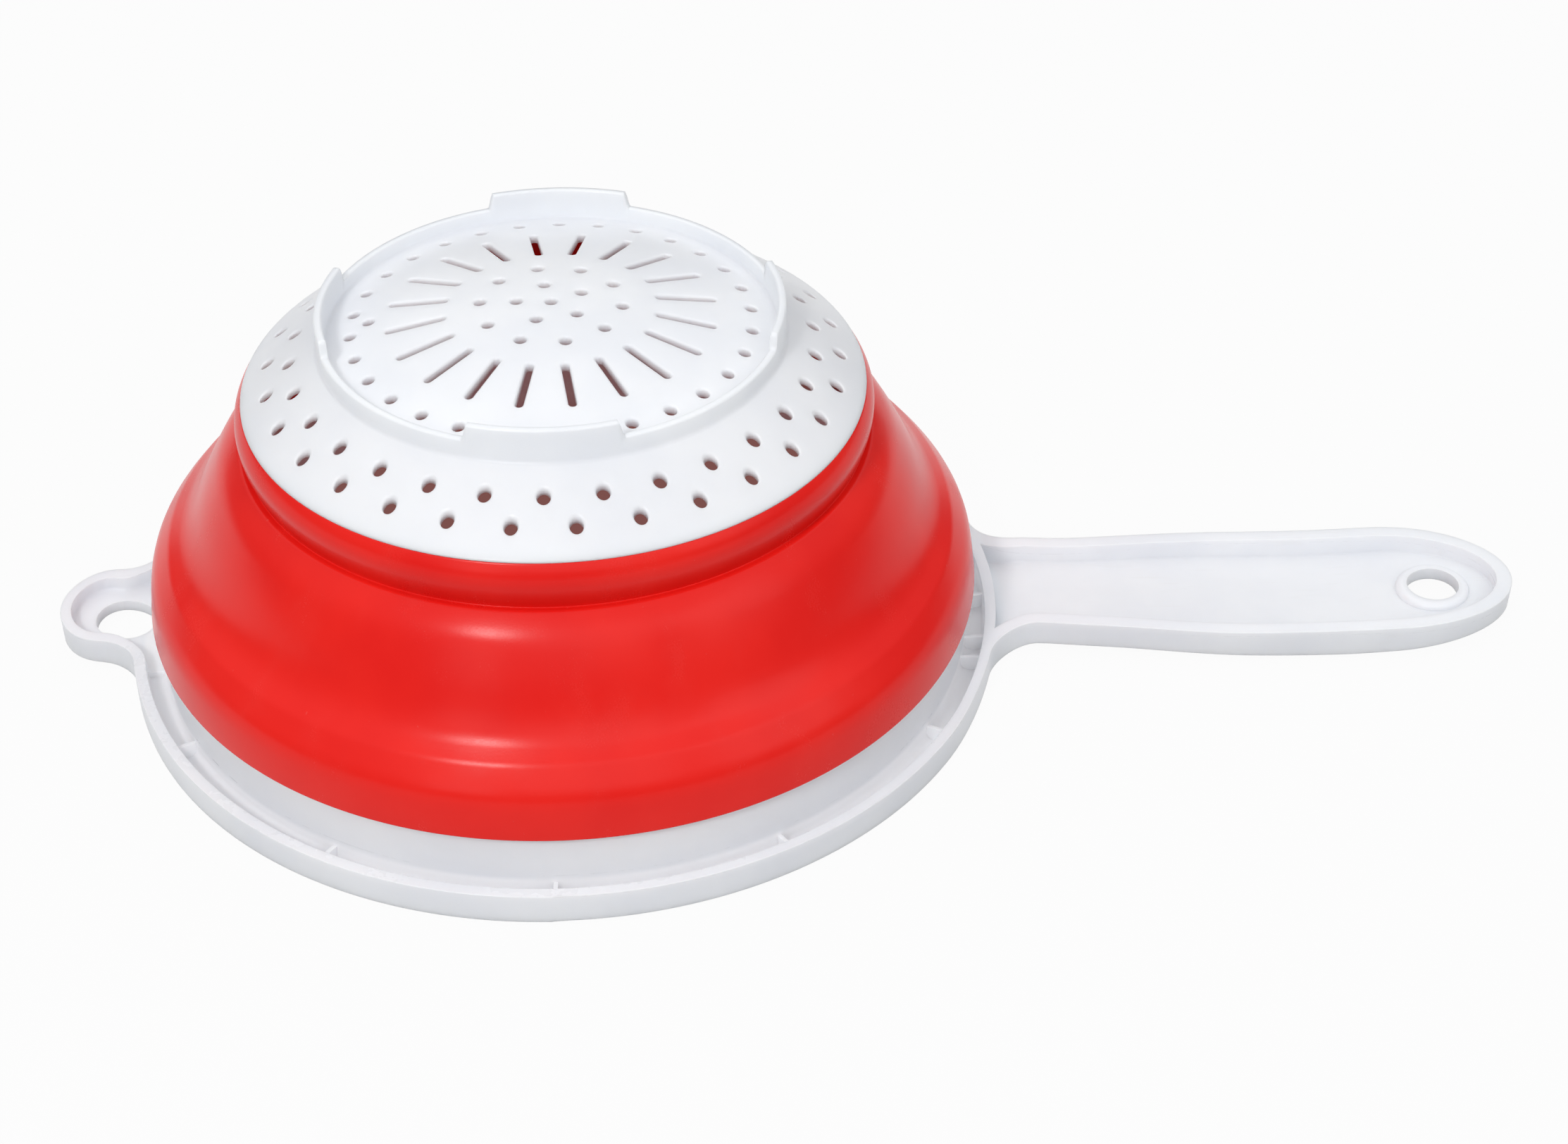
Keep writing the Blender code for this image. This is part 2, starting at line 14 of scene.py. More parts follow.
import bmesh
import bpy
from mathutils import Matrix, Vector
from mathutils.geometry import delaunay_2d_cdt


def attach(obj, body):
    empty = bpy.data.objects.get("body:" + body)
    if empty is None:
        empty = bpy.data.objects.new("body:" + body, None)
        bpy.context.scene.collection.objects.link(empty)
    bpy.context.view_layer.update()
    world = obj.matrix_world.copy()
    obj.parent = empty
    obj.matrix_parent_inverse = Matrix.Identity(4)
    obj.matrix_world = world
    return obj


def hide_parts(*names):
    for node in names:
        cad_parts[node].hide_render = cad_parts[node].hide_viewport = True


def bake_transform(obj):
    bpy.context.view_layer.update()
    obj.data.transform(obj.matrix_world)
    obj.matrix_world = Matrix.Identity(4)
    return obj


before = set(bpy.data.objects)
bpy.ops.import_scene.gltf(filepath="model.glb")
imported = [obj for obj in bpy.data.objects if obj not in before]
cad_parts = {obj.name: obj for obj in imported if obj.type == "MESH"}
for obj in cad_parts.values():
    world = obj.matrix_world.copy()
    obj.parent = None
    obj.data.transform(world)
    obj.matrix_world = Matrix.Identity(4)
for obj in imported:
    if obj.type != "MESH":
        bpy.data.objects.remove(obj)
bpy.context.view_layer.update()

LOG = logging.getLogger("colander")
MM = 0.001
WELD = 0.001 * MM
BOWL_X = -60.0 * MM
COLLAR_INNER_R = 105.5 * MM

Point2 = tuple[float, float]
Point3 = tuple[float, float, float]
Colour = tuple[float, float, float]


class Body(Enum):
    """The two bodies that the pieces move with."""

    RIM = "rim_body"
    BASE = "base_body"


class Slot(Enum):
    """The material slots of the record."""

    WHITE = "white_plastic"
    RED = "red_elastomer"


class Node(Enum):
    """The solids that the pieces stand for."""

    RIM_FRAME = "rim_frame"
    STRAINER_BASE = "strainer_base"
    OUTER_BAND = "wall_outer_band"
    FOLD_BAND = "wall_fold_band"
    INNER_BAND = "wall_inner_band"


class Value:
    """A number inside a material, which takes part in Python sums."""

    def __init__(self, graph: "Graph", socket: bpy.types.NodeSocket) -> None:
        """Wrap one output socket.

        Args:
            graph: the material that the socket belongs to.
            socket: the output socket with the number.
        """
        self.graph = graph
        self.socket = socket

    def _maths(self, operation: str, first: "Number", second: "Number") -> "Value":
        """Add one Math node and return its result."""
        return self.graph.output("ShaderNodeMath", {"operation": operation}, {0: first, 1: second})

    def __add__(self, other: "Number") -> "Value":
        """Return self + other."""
        return self._maths("ADD", self, other)

    def __radd__(self, other: "Number") -> "Value":
        """Return other + self."""
        return self._maths("ADD", other, self)

    def __sub__(self, other: "Number") -> "Value":
        """Return self - other."""
        return self._maths("SUBTRACT", self, other)

    def __rsub__(self, other: "Number") -> "Value":
        """Return other - self."""
        return self._maths("SUBTRACT", other, self)

    def __mul__(self, other: "Number") -> "Value":
        """Return self * other."""
        return self._maths("MULTIPLY", self, other)

    def __rmul__(self, other: "Number") -> "Value":
        """Return other * self."""
        return self._maths("MULTIPLY", other, self)

    def __truediv__(self, other: "Number") -> "Value":
        """Return self / other."""
        return self._maths("DIVIDE", self, other)

    def __abs__(self) -> "Value":
        """Return the number without its sign."""
        return self.graph.output("ShaderNodeMath", {"operation": "ABSOLUTE"}, {0: self})

    def ramp(self, low: float, high: float) -> "Value":
        """Ease the number from 0 at low to 1 at high.

        Args:
            low: the number that gives 0.
            high: the number that gives 1.

        Returns:
            The eased share.
        """
        settings = {"interpolation_type": "SMOOTHSTEP"}
        feeds = {0: self, 1: low, 2: high, 3: 0.0, 4: 1.0}
        return self.graph.output("ShaderNodeMapRange", settings, feeds)


Number = Union[float, Value]
Feed = Union[float, Point3, tuple, Value, bpy.types.NodeSocket]
Feeds = dict[object, Feed]
Settings = dict[str, object]


class Graph:
    """The node tree of one material or world, built by code."""

    def __init__(self, owner: Union[bpy.types.Material, bpy.types.World]) -> None:
        """Turn on the nodes of a new material or world.

        Args:
            owner: the material or the world.
        """
        owner.use_nodes = True
        self.owner = owner
        self.tree = owner.node_tree
        self.shader = self.tree.nodes.get("Principled BSDF") or self.tree.nodes["Background"]
        self.surface = self.tree.nodes.get("Material Output") or self.tree.nodes["World Output"]

    @classmethod
    def material(cls, name: str) -> "Graph":
        """Start a new material."""
        return cls(bpy.data.materials.new(name))

    def feed(self, socket: bpy.types.NodeSocket, value: Feed) -> None:
        """Link a value to a socket, or set it there.

        Args:
            socket: the input socket.
            value: a number, a colour or vector, a Value or another node's socket.
        """
        if isinstance(value, Value):
            self.tree.links.new(value.socket, socket)
        elif isinstance(value, bpy.types.NodeSocket):
            self.tree.links.new(value, socket)
        else:
            socket.default_value = value

    def node(self, kind: str, settings: Settings, feeds: Feeds) -> bpy.types.Node:
        """Add one node.

        Args:
            kind: Blender's name of the node's type.
            settings: the node's own options, set before its sockets.
            feeds: the value or link of each input socket, by its name or number.

        Returns:
            The new node.
        """
        added = self.tree.nodes.new(kind)
        for option, chosen in settings.items():
            setattr(added, option, chosen)
        for key, value in feeds.items():
            self.feed(added.inputs[key], value)
        return added

    def output(self, kind: str, settings: Settings, feeds: Feeds, out: object = 0) -> Value:
        """Add one node and return one of its outputs as a Value.

        Args:
            kind: Blender's name of the node's type.
            settings: the node's own options.
            feeds: the value or link of each input socket.
            out: the name or number of the output.

        Returns:
            The wrapped output.
        """
        return Value(self, self.node(kind, settings, feeds).outputs[out])

    def place(self) -> Value:
        """Return the place on the object, in metres."""
        return self.output("ShaderNodeTexCoord", {}, {}, "Object")

    def axes(self, place: Value) -> tuple[Value, Value, Value]:
        """Return the X, Y and Z parts of a place."""
        split = self.node("ShaderNodeSeparateXYZ", {}, {0: place})
        return tuple(Value(self, part) for part in split.outputs)

    def stretch(self, place: Value, scale: Point3) -> Value:
        """Return a place scaled along each axis."""
        return self.output("ShaderNodeVectorMath", {"operation": "MULTIPLY"}, {0: place, 1: scale})

    def apart(self, place: Value, point: Point3) -> Value:
        """Return the distance between a place and a fixed point."""
        settings = {"operation": "DISTANCE"}
        return self.output("ShaderNodeVectorMath", settings, {0: place, 1: point}, "Value")

    def noise(self, place: Value, scale: float, detail: float = 2.0) -> Value:
        """Return soft noise between 0 and 1.

        Args:
            place: where the noise is read.
            scale: waves in each metre.
            detail: how many finer layers are added.

        Returns:
            The noise.
        """
        feeds = {"Vector": place, "Scale": scale, "Detail": detail}
        return self.output("ShaderNodeTexNoise", {}, feeds, "Fac")

    def mix(self, share: Number, first: object, second: object) -> Value:
        """Mix two colours.

        Args:
            share: how much of the second colour shows.
            first: a colour or the Value of one.
            second: a colour or the Value of one.

        Returns:
            The mixed colour.
        """
        settings = {"data_type": "RGBA", "clamp_factor": True}
        ends = [(*end, 1.0) if isinstance(end, tuple) else end for end in (first, second)]
        return self.output("ShaderNodeMix", settings, {0: share, 6: ends[0], 7: ends[1]}, 2)

    def plain(self, kind: str, colour: Colour) -> bpy.types.NodeSocket:
        """Return a shader of one even colour at strength 1."""
        return self.node(kind, {}, {"Color": (*colour, 1.0), "Strength": 1.0}).outputs[0]

    def blend(
        self, share: Feed, first: bpy.types.NodeSocket, second: bpy.types.NodeSocket
    ) -> bpy.types.NodeSocket:
        """Return the blend of two shaders."""
        return self.node("ShaderNodeMixShader", {}, {0: share, 1: first, 2: second}).outputs[0]

    def bump(self, height: Value, strength: float, distance: float) -> None:
        """Feed a bump of the surface to the shader.

        Args:
            height: the pattern of the bump.
            strength: how much of it shows.
            distance: the depth of a full bump.
        """
        feeds = {"Strength": strength, "Distance": distance, "Height": height}
        bumped = self.node("ShaderNodeBump", {}, feeds)
        self.feed(self.shader.inputs["Normal"], bumped.outputs["Normal"])

    def dress(self, colour: Value, roughness: Value, constants: Settings) -> None:
        """Feed the shader's colour and roughness, and set its plain numbers.

        Args:
            colour: the colour over the surface.
            roughness: the roughness over the surface.
            constants: the number or colour of each other socket, by its name.
        """
        self.feed(self.shader.inputs["Base Color"], colour)
        self.feed(self.shader.inputs["Roughness"], roughness)
        for socket, value in constants.items():
            self.shader.inputs[socket].default_value = value


@dataclass(frozen=True)
class WhitePlastic:
    """Moulded white plastic with a soft gloss, which lets a little light in, with painted light down in the
    ring's gutter.
    """

    clean: Colour = (0.865, 0.88, 0.905)
    shade: Colour = (0.815, 0.832, 0.868)
    scuff: Colour = (0.74, 0.735, 0.715)
    # painted light: a lighter colour for the ring's gutter, standing in for light that the plastic lets in
    # there
    gutter: Colour = (0.97, 0.975, 1.0)
    gutter_r: Point2 = (105.0 * MM, 114.0 * MM)
    gutter_z: float = 6.0 * MM
    gutter_fade: float = 2.0 * MM
    mottle_scale: float = 32.0
    mottle_band: Point2 = (0.3, 0.7)
    mottle_rough: float = 0.12
    peel_scale: float = 420.0
    peel_rough: float = 0.1
    peel_bump: float = 0.7
    grain_scale: float = 2600.0
    grain_bump: float = 0.3
    handle_x: Point2 = (60.0 * MM, 90.0 * MM)
    streak_stretch: Point3 = (1.0, 9.0, 3.0)
    streak_scale: float = 60.0
    streak_band: Point2 = (0.6, 0.74)
    streak_scuff: float = 0.16
    streak_rough: float = 0.12
    streak_bump: float = 0.15
    speck_scale: float = 900.0
    speck_band: Point2 = (0.73, 0.79)
    speck_scuff: float = 0.16
    crest_z: float = 8.3 * MM
    crest_band: float = 0.5 * MM
    crest_scuff: float = 0.03
    crest_shine: float = 0.05
    roughness: float = 0.33
    specular: float = 0.4
    scatter: float = 0.7
    scatter_tint: Colour = (1.0, 0.97, 0.94)
    scatter_depth: float = 3.0 * MM
    bump_strength: float = 0.04
    bump_depth: float = 0.3 * MM

    def gutter_painted_light_share(self, graph: Graph, place: Value, z: Value) -> Value:
        """Tell how much a place lies down in the ring's gutter, where painted light lightens the colour.

        Args:
            graph: the material.
            place: the place on the object.
            z: the height of the place.

        Returns:
            The share, from 0 to 1.
        """
        inner, outer = self.gutter_r
        half = self.gutter_fade / 2.0
        radius = graph.apart(place, (BOWL_X, 0.0, 0.0))
        outside_collar = radius.ramp(inner, inner + self.gutter_fade)
        above = z.ramp(self.gutter_z, self.gutter_z + self.gutter_fade)
        in_rim = radius.ramp(outer - half, outer + half)
        return outside_collar * (1.0 - above) * (1.0 - in_rim)

    def build(self) -> bpy.types.Material:
        """Make the material.

        Returns:
            The material.
        """
        graph = Graph.material("moulded_white_plastic")
        place = graph.place()
        x, _, z = graph.axes(place)
        mottle = graph.noise(place, self.mottle_scale, detail=3.0)
        peel = graph.noise(place, self.peel_scale)
        grain = graph.noise(place, self.grain_scale)
        flow = graph.noise(graph.stretch(place, self.streak_stretch), self.streak_scale, detail=4.0)
        streaks = flow.ramp(*self.streak_band) * x.ramp(*self.handle_x)
        crest = 1.0 - abs(z - self.crest_z).ramp(0.0, self.crest_band)
        specks = graph.noise(place, self.speck_scale).ramp(*self.speck_band)
        scuffs = streaks * self.streak_scuff + specks * self.speck_scuff + crest * mottle * self.crest_scuff
        colour = graph.mix(mottle.ramp(*self.mottle_band), self.clean, self.shade)
        # painted light: the colour turns lighter down in the ring's gutter
        colour = graph.mix(self.gutter_painted_light_share(graph, place, z), colour, self.gutter)
        rough = self.roughness + (mottle - 0.5) * self.mottle_rough + (peel - 0.5) * self.peel_rough
        rough = rough + streaks * self.streak_rough - crest * self.crest_shine
        constants = {
            "Specular IOR Level": self.specular,
            "Subsurface Weight": self.scatter,
            "Subsurface Radius": self.scatter_tint,
            "Subsurface Scale": self.scatter_depth,
        }
        graph.dress(graph.mix(scuffs, colour, self.scuff), rough, constants)
        bump = peel * self.peel_bump + grain * self.grain_bump + streaks * self.streak_bump
        graph.bump(bump, self.bump_strength, self.bump_depth)
        return graph.owner


@dataclass(frozen=True)
class RedElastomer:
    """Soft red elastomer with a satin skin, a little dust and two gate marks, darkened with painted shade.
    """

    bright: Colour = (0.85, 0.019, 0.013)
    deep: Colour = (0.78, 0.012, 0.009)
    dust: Colour = (0.80, 0.12, 0.10)
    # painted shade: the dark red painted into the gate marks' dimples
    pit_painted_shade: Colour = (0.30, 0.008, 0.008)
    cloud_scale: float = 24.0
    cloud_band: Point2 = (0.3, 0.7)
    cloud_rough: float = 0.1
    haze_stretch: Point3 = (1.0, 1.0, 0.4)
    haze_scale: float = 75.0
    haze_band: Point2 = (0.5, 0.8)
    haze_dust: float = 0.05
    haze_rough: float = 0.06
    grain_scale: float = 2200.0
    grain_rough: float = 0.08
    grain_bump: float = 0.5
    ring_stretch: Point3 = (0.02, 0.02, 1.0)
    ring_scale: float = 420.0
    ring_bump: float = 0.3
    speck_scale: float = 620.0
    speck_band: Point2 = (0.755, 0.80)
    speck_dust: float = 0.3
    mark_radius: float = 1.1 * MM
    pit_shade_share: float = 0.6
    mark_bump: float = 2.0
    marks: tuple[Point3, ...] = ((-148.0 * MM, 18.0 * MM, 55.0 * MM), (28.0 * MM, 18.0 * MM, 55.0 * MM))
    roughness: float = 0.24
    specular: float = 0.2
    bump_strength: float = 0.07
    bump_depth: float = 0.3 * MM

    def build(self) -> bpy.types.Material:
        """Make the material.

        Returns:
            The material.
        """
        graph = Graph.material("soft_red_elastomer")
        place = graph.place()
        cloud = graph.noise(place, self.cloud_scale, detail=3.0)
        haze = graph.noise(graph.stretch(place, self.haze_stretch), self.haze_scale, detail=5.0)
        haze = haze.ramp(*self.haze_band)
        grain = graph.noise(place, self.grain_scale)
        rings = graph.noise(graph.stretch(place, self.ring_stretch), self.ring_scale)
        specks = graph.noise(place, self.speck_scale).ramp(*self.speck_band)
        pits = sum(1.0 - graph.apart(place, mark).ramp(0.0, self.mark_radius) for mark in self.marks)
        colour = graph.mix(cloud.ramp(*self.cloud_band), self.bright, self.deep)
        colour = graph.mix(haze * self.haze_dust + specks * self.speck_dust, colour, self.dust)
        # painted shade: the gate marks' dimples are darkened in colour as well as dented by the bump
        colour = graph.mix(pits * self.pit_shade_share, colour, self.pit_painted_shade)
        rough = self.roughness + (cloud - 0.5) * self.cloud_rough + haze * self.haze_rough
        rough = rough + (grain - 0.5) * self.grain_rough
        graph.dress(colour, rough, {"Specular IOR Level": self.specular})
        bump = grain * self.grain_bump + rings * self.ring_bump - pits * self.mark_bump
        graph.bump(bump, self.bump_strength, self.bump_depth)
        return graph.owner


@dataclass(frozen=True)
class PaleFloor:
    """A floor that shows white to the camera and keeps a soft shadow; inside the rim it is a dim red-brown
    glow, painted light for the light bounced round inside the bowl.
    """

    colour: Colour = (0.5, 0.5, 0.5)
    shade: Colour = (0.47, 0.47, 0.47)
    tone_scale: float = 3.0
    tone_share: float = 0.2
    tone_rough: float = 0.1
    roughness: float = 0.8
    specular: float = 0.1
    whiteness: float = 0.95
    rim_r: float = 106.0 * MM
    # painted light: the dim red-brown that the floor gives off inside the rim
    painted_inside_light: Colour = (0.20, 0.080, 0.072)

    def build(self) -> bpy.types.Material:
        """Make the material.

        Returns:
            The material.
        """
        graph = Graph.material("pale_floor")
        place = graph.place()
        tone = graph.noise(place, self.tone_scale)
        colour = graph.mix(tone * self.tone_share, self.colour, self.shade)
        rough = self.roughness + tone * self.tone_rough
        graph.dress(colour, rough, {"Specular IOR Level": self.specular})
        outside = graph.apart(place, (BOWL_X, 0.0, 0.0)).ramp(self.rim_r, self.rim_r + MM)
        path = graph.node("ShaderNodeLightPath", {}, {})
        kinds = ("Is Camera Ray", "Is Glossy Ray", "Is Transmission Ray")
        seen = sum(Value(graph, path.outputs[kind]) for kind in kinds) * outside * self.whiteness
        white = graph.plain("ShaderNodeEmission", (1.0, 1.0, 1.0))
        # painted light: inside the rim the floor is an emitter, standing in for light bounced off the red
        # wall, in place of its lit surface
        painted_glow = graph.plain("ShaderNodeEmission", self.painted_inside_light)
        open_floor = graph.blend(seen, graph.shader.outputs[0], white)
        graph.feed(graph.surface.inputs["Surface"], graph.blend(1.0 - outside, open_floor, painted_glow))
        return graph.owner


def smooth(value: float, low: float, high: float) -> float:
    """Return the share that eases from 0 at low to 1 at high."""
    share = min(max((value - low) / (high - low), 0.0), 1.0)
    return share * share * (3.0 - 2.0 * share)


def polar(radius: float, angle: float, centre: Point2 = (0.0, 0.0)) -> Point2:
    """Return the plan point at a radius and an angle in radians."""
    return (centre[0] + radius * math.cos(angle), centre[1] + radius * math.sin(angle))


def arc(
    radius: float, start_deg: float, end_deg: float, centre: Point2 = (0.0, 0.0), step: float = 1.6 * MM
) -> list[Point2]:
    """Return points along an arc.

    Args:
        radius: the arc's radius.
        start_deg: the first angle.
        end_deg: the last angle.
        centre: the arc's centre.
        step: the length of one step, or a little more.

    Returns:
        The points, both ends included.
    """
    turn = math.radians(end_deg - start_deg)
    steps = max(3, math.ceil(abs(turn) * radius / step))
    start = math.radians(start_deg)
    return [polar(radius, start + turn * i / steps, centre) for i in range(steps + 1)]


def bezier(start: Point2, pull: Point2, end: Point2, steps: int) -> list[Point2]:
    """Return points along a curve with one pull point.

    Args:
        start: the first point.
        pull: the point that the curve bends towards.
        end: the last point.
        steps: the number of steps along the curve.

    Returns:
        The points, both ends included.
    """
    points = []
    for step in range(steps + 1):
        t = step / steps
        weights = ((1.0 - t) ** 2, 2.0 * t * (1.0 - t), t * t)
        pulls = tuple(zip(weights, (start, pull, end)))
        points.append(tuple(sum(weight * point[axis] for weight, point in pulls) for axis in (0, 1)))
    return points


def rounded(corners: Sequence[Point3], steps: int = 4) -> list[Point2]:
    """Round the corners of a closed section.

    Args:
        corners: each corner's radius, height and the length that its rounding takes from each side.
        steps: the number of steps in each rounding.

    Returns:
        The rounded section.
    """
    longest = 0.48
    points: list[Point2] = []
    count = len(corners)
    for index, (r, z, reach) in enumerate(corners):
        here = Vector((r, z))
        if reach <= 0.0:
            points.append((r, z))
            continue
        before = Vector(corners[index - 1][:2]) - here
        after = Vector(corners[(index + 1) % count][:2]) - here
        start = here + before.normalized() * min(reach, before.length * longest)
        end = here + after.normalized() * min(reach, after.length * longest)
        points += bezier(tuple(start), (r, z), tuple(end), steps)
    return points


def circles_meet(first: Point2, first_r: float, second: Point2, second_r: float) -> Point2:
    """Return the meeting point of two circles to the right of the line between their centres.

    Args:
        first: the first circle's centre.
        first_r: the first circle's radius.
        second: the second circle's centre.
        second_r: the second circle's radius.

    Returns:
        The point.
    """
    gap = Vector(second) - Vector(first)
    along = (first_r**2 - second_r**2 + gap.length_squared) / (2.0 * gap.length)
    across = math.sqrt(max(first_r**2 - along**2, 0.0))
    foot = Vector(first) + gap.normalized() * along
    return tuple(foot + Vector((gap.y, -gap.x)).normalized() * across)


def bearing(point: Point2, centre: Point2 = (0.0, 0.0)) -> float:
    """Return the angle in degrees at which a point is seen from a centre."""
    return math.degrees(math.atan2(point[1] - centre[1], point[0] - centre[0]))


def mirrored(half: list[Point2]) -> list[Point2]:
    """Close an outline whose first and last points lie on the X axis."""
    return half + [(x, -y) for x, y in reversed(half[1:-1])]


def quarter(steps: int) -> list[tuple[float, float]]:
    """Return the sine, and 1 less the cosine, at even steps through a quarter turn."""
    angles = [math.pi / 2.0 * step / steps for step in range(steps + 1)]
    return [(math.sin(angle), 1.0 - math.cos(angle)) for angle in angles]


@contextmanager
def opened(mesh: bpy.types.Mesh) -> Iterator[bmesh.types.BMesh]:
    """Open a mesh for changes, which are written back to it at the end.

    Args:
        mesh: the mesh.

    Yields:
        The open mesh.
    """
    work = bmesh.new()
    work.from_mesh(mesh)
    yield work
    work.to_mesh(mesh)
    work.free()


class Shape:
    """A mesh in the making, with the bowl's axis at its origin."""

    def __init__(self) -> None:
        """Start with no points and no faces."""
        self.points: list[Point3] = []
        self.faces: list[tuple[int, ...]] = []

    def loop(self, points: Sequence[Point3]) -> list[int]:
        """Add points.

        Args:
            points: the new points.

        Returns:
            Their numbers in the mesh.
        """
        first = len(self.points)
        self.points += [tuple(point) for point in points]
        return list(range(first, len(self.points)))

    def bridge(self, lower: list[int], upper: list[int]) -> None:
        """Join two closed loops of one length with a band of faces.

        Args:
            lower: the numbers of the first loop's points.
            upper: the numbers of the second loop's points.
        """
        count = len(lower)
        for i in range(count):
            j = (i + 1) % count
            self.faces.append((lower[i], lower[j], upper[j], upper[i]))

    def bands(self, loops: Sequence[list[int]]) -> None:
        """Join each loop to the next one."""
        for lower, upper in zip(loops, loops[1:]):
            self.bridge(lower, upper)

    def prism(self, outline: Sequence[Point2], low: float, high: float) -> None:
        """Add a closed upright prism.

        Args:
            outline: the prism's outline, which runs anticlockwise.
            low: the height of its bottom.
            high: the height of its top.
        """
        bottom = self.loop([(x, y, low) for x, y in outline])
        top = self.loop([(x, y, high) for x, y in outline])
        self.bridge(bottom, top)
        self.faces += [tuple(reversed(bottom)), tuple(top)]

    def turned(self, profile: Sequence[Point2], steps: int) -> list[list[int]]:
        """Add a circle at each step of a profile, and join them.

        Args:
            profile: the radius and height of each step, in order.
            steps: the number of points in a circle.

        Returns:
            The numbers of each circle's points.
        """
        turns = [2.0 * math.pi * i / steps for i in range(steps)]
        loops = [self.loop([(*polar(r, t), z) for t in turns]) for r, z in profile]
        self.bands(loops)
        return loops

    def mesh(self, name: str) -> bpy.types.Mesh:
        """Make the mesh, welded and with its faces pointing out.

        Args:
            name: the name of the mesh.

        Returns:
            The mesh.
        """
        mesh = bpy.data.meshes.new(name)
        mesh.from_pydata(self.points, [], self.faces)
        with opened(mesh) as work:
            bmesh.ops.remove_doubles(work, verts=work.verts, dist=WELD)
            bmesh.ops.recalc_face_normals(work, faces=work.faces)
        mesh.polygons.foreach_set("use_smooth", [True] * len(mesh.polygons))
        return mesh

    def place(self, name: str) -> bpy.types.Object:
        """Make an object of the mesh, at the bowl's place.

        Args:
            name: the name of the object.

        Returns:
            The object.
        """
        mesh = self.mesh(name)
        mesh.transform(Matrix.Translation((BOWL_X, 0.0, 0.0)))
        item = bpy.data.objects.new(name, mesh)
        bpy.context.scene.collection.objects.link(item)
        return item


def settle(item: bpy.types.Object) -> None:
    """Make the result of an object's modifiers its own mesh.

    Args:
        item: the object.
    """
    bpy.context.view_layer.update()
    graph = bpy.context.evaluated_depsgraph_get()
    mesh = bpy.data.meshes.new_from_object(item.evaluated_get(graph), depsgraph=graph)
    item.modifiers.clear()
    item.data = mesh


def clean(item: bpy.types.Object) -> None:
    """Remove faces and edges without size from an object's mesh.

    Args:
        item: the object.
    """
    smallest = 0.002 * MM
    with opened(item.data) as work:
        bmesh.ops.dissolve_degenerate(work, edges=work.edges, dist=smallest)
        bmesh.ops.remove_doubles(work, verts=work.verts, dist=smallest)


def round_edges(item: bpy.types.Object, z: float, width: float, segments: int) -> None:
    """Round the sharp edges of an object that lie in one level plane.

    Args:
        item: the object.
        z: the height of the plane.
        width: how far the rounding reaches.
        segments: the number of steps in the rounding.
    """
    sharpest = math.radians(50.0)
    off_level = 0.01 * MM
    options = {"offset": width, "segments": segments, "profile": 0.5, "clamp_overlap": True}
    with opened(item.data) as work:
        sharp = [edge for edge in work.edges if edge.calc_face_angle(0.0) > sharpest]
        level = [edge for edge in sharp if max(abs(vert.co.z - z) for vert in edge.verts) < off_level]
        bmesh.ops.bevel(work, geom=level, affect="EDGES", **options)


def wear(
    item: bpy.types.Object, material: bpy.types.Material, slot: Slot, nodes: Sequence[Node]
) -> None:
    """Give a piece its material and hide the solids that it stands for.

    Args:
        item: the piece.
        material: its material.
        slot: not used.
        nodes: the solids that it stands for.
    """
    item.data.materials.clear()
    item.data.materials.append(material)
    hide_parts(*[node.value for node in nodes])
    LOG.info("%s: %d faces", item.name, len(item.data.polygons))


@dataclass(frozen=True)
class Ease:
    """A change that grows from nothing to its full size between two distances."""

    size: float
    start: float
    end: float

    def at(self, distance: float) -> float:
        """Return the change at a distance."""
        return self.size * smooth(distance, self.start, self.end)


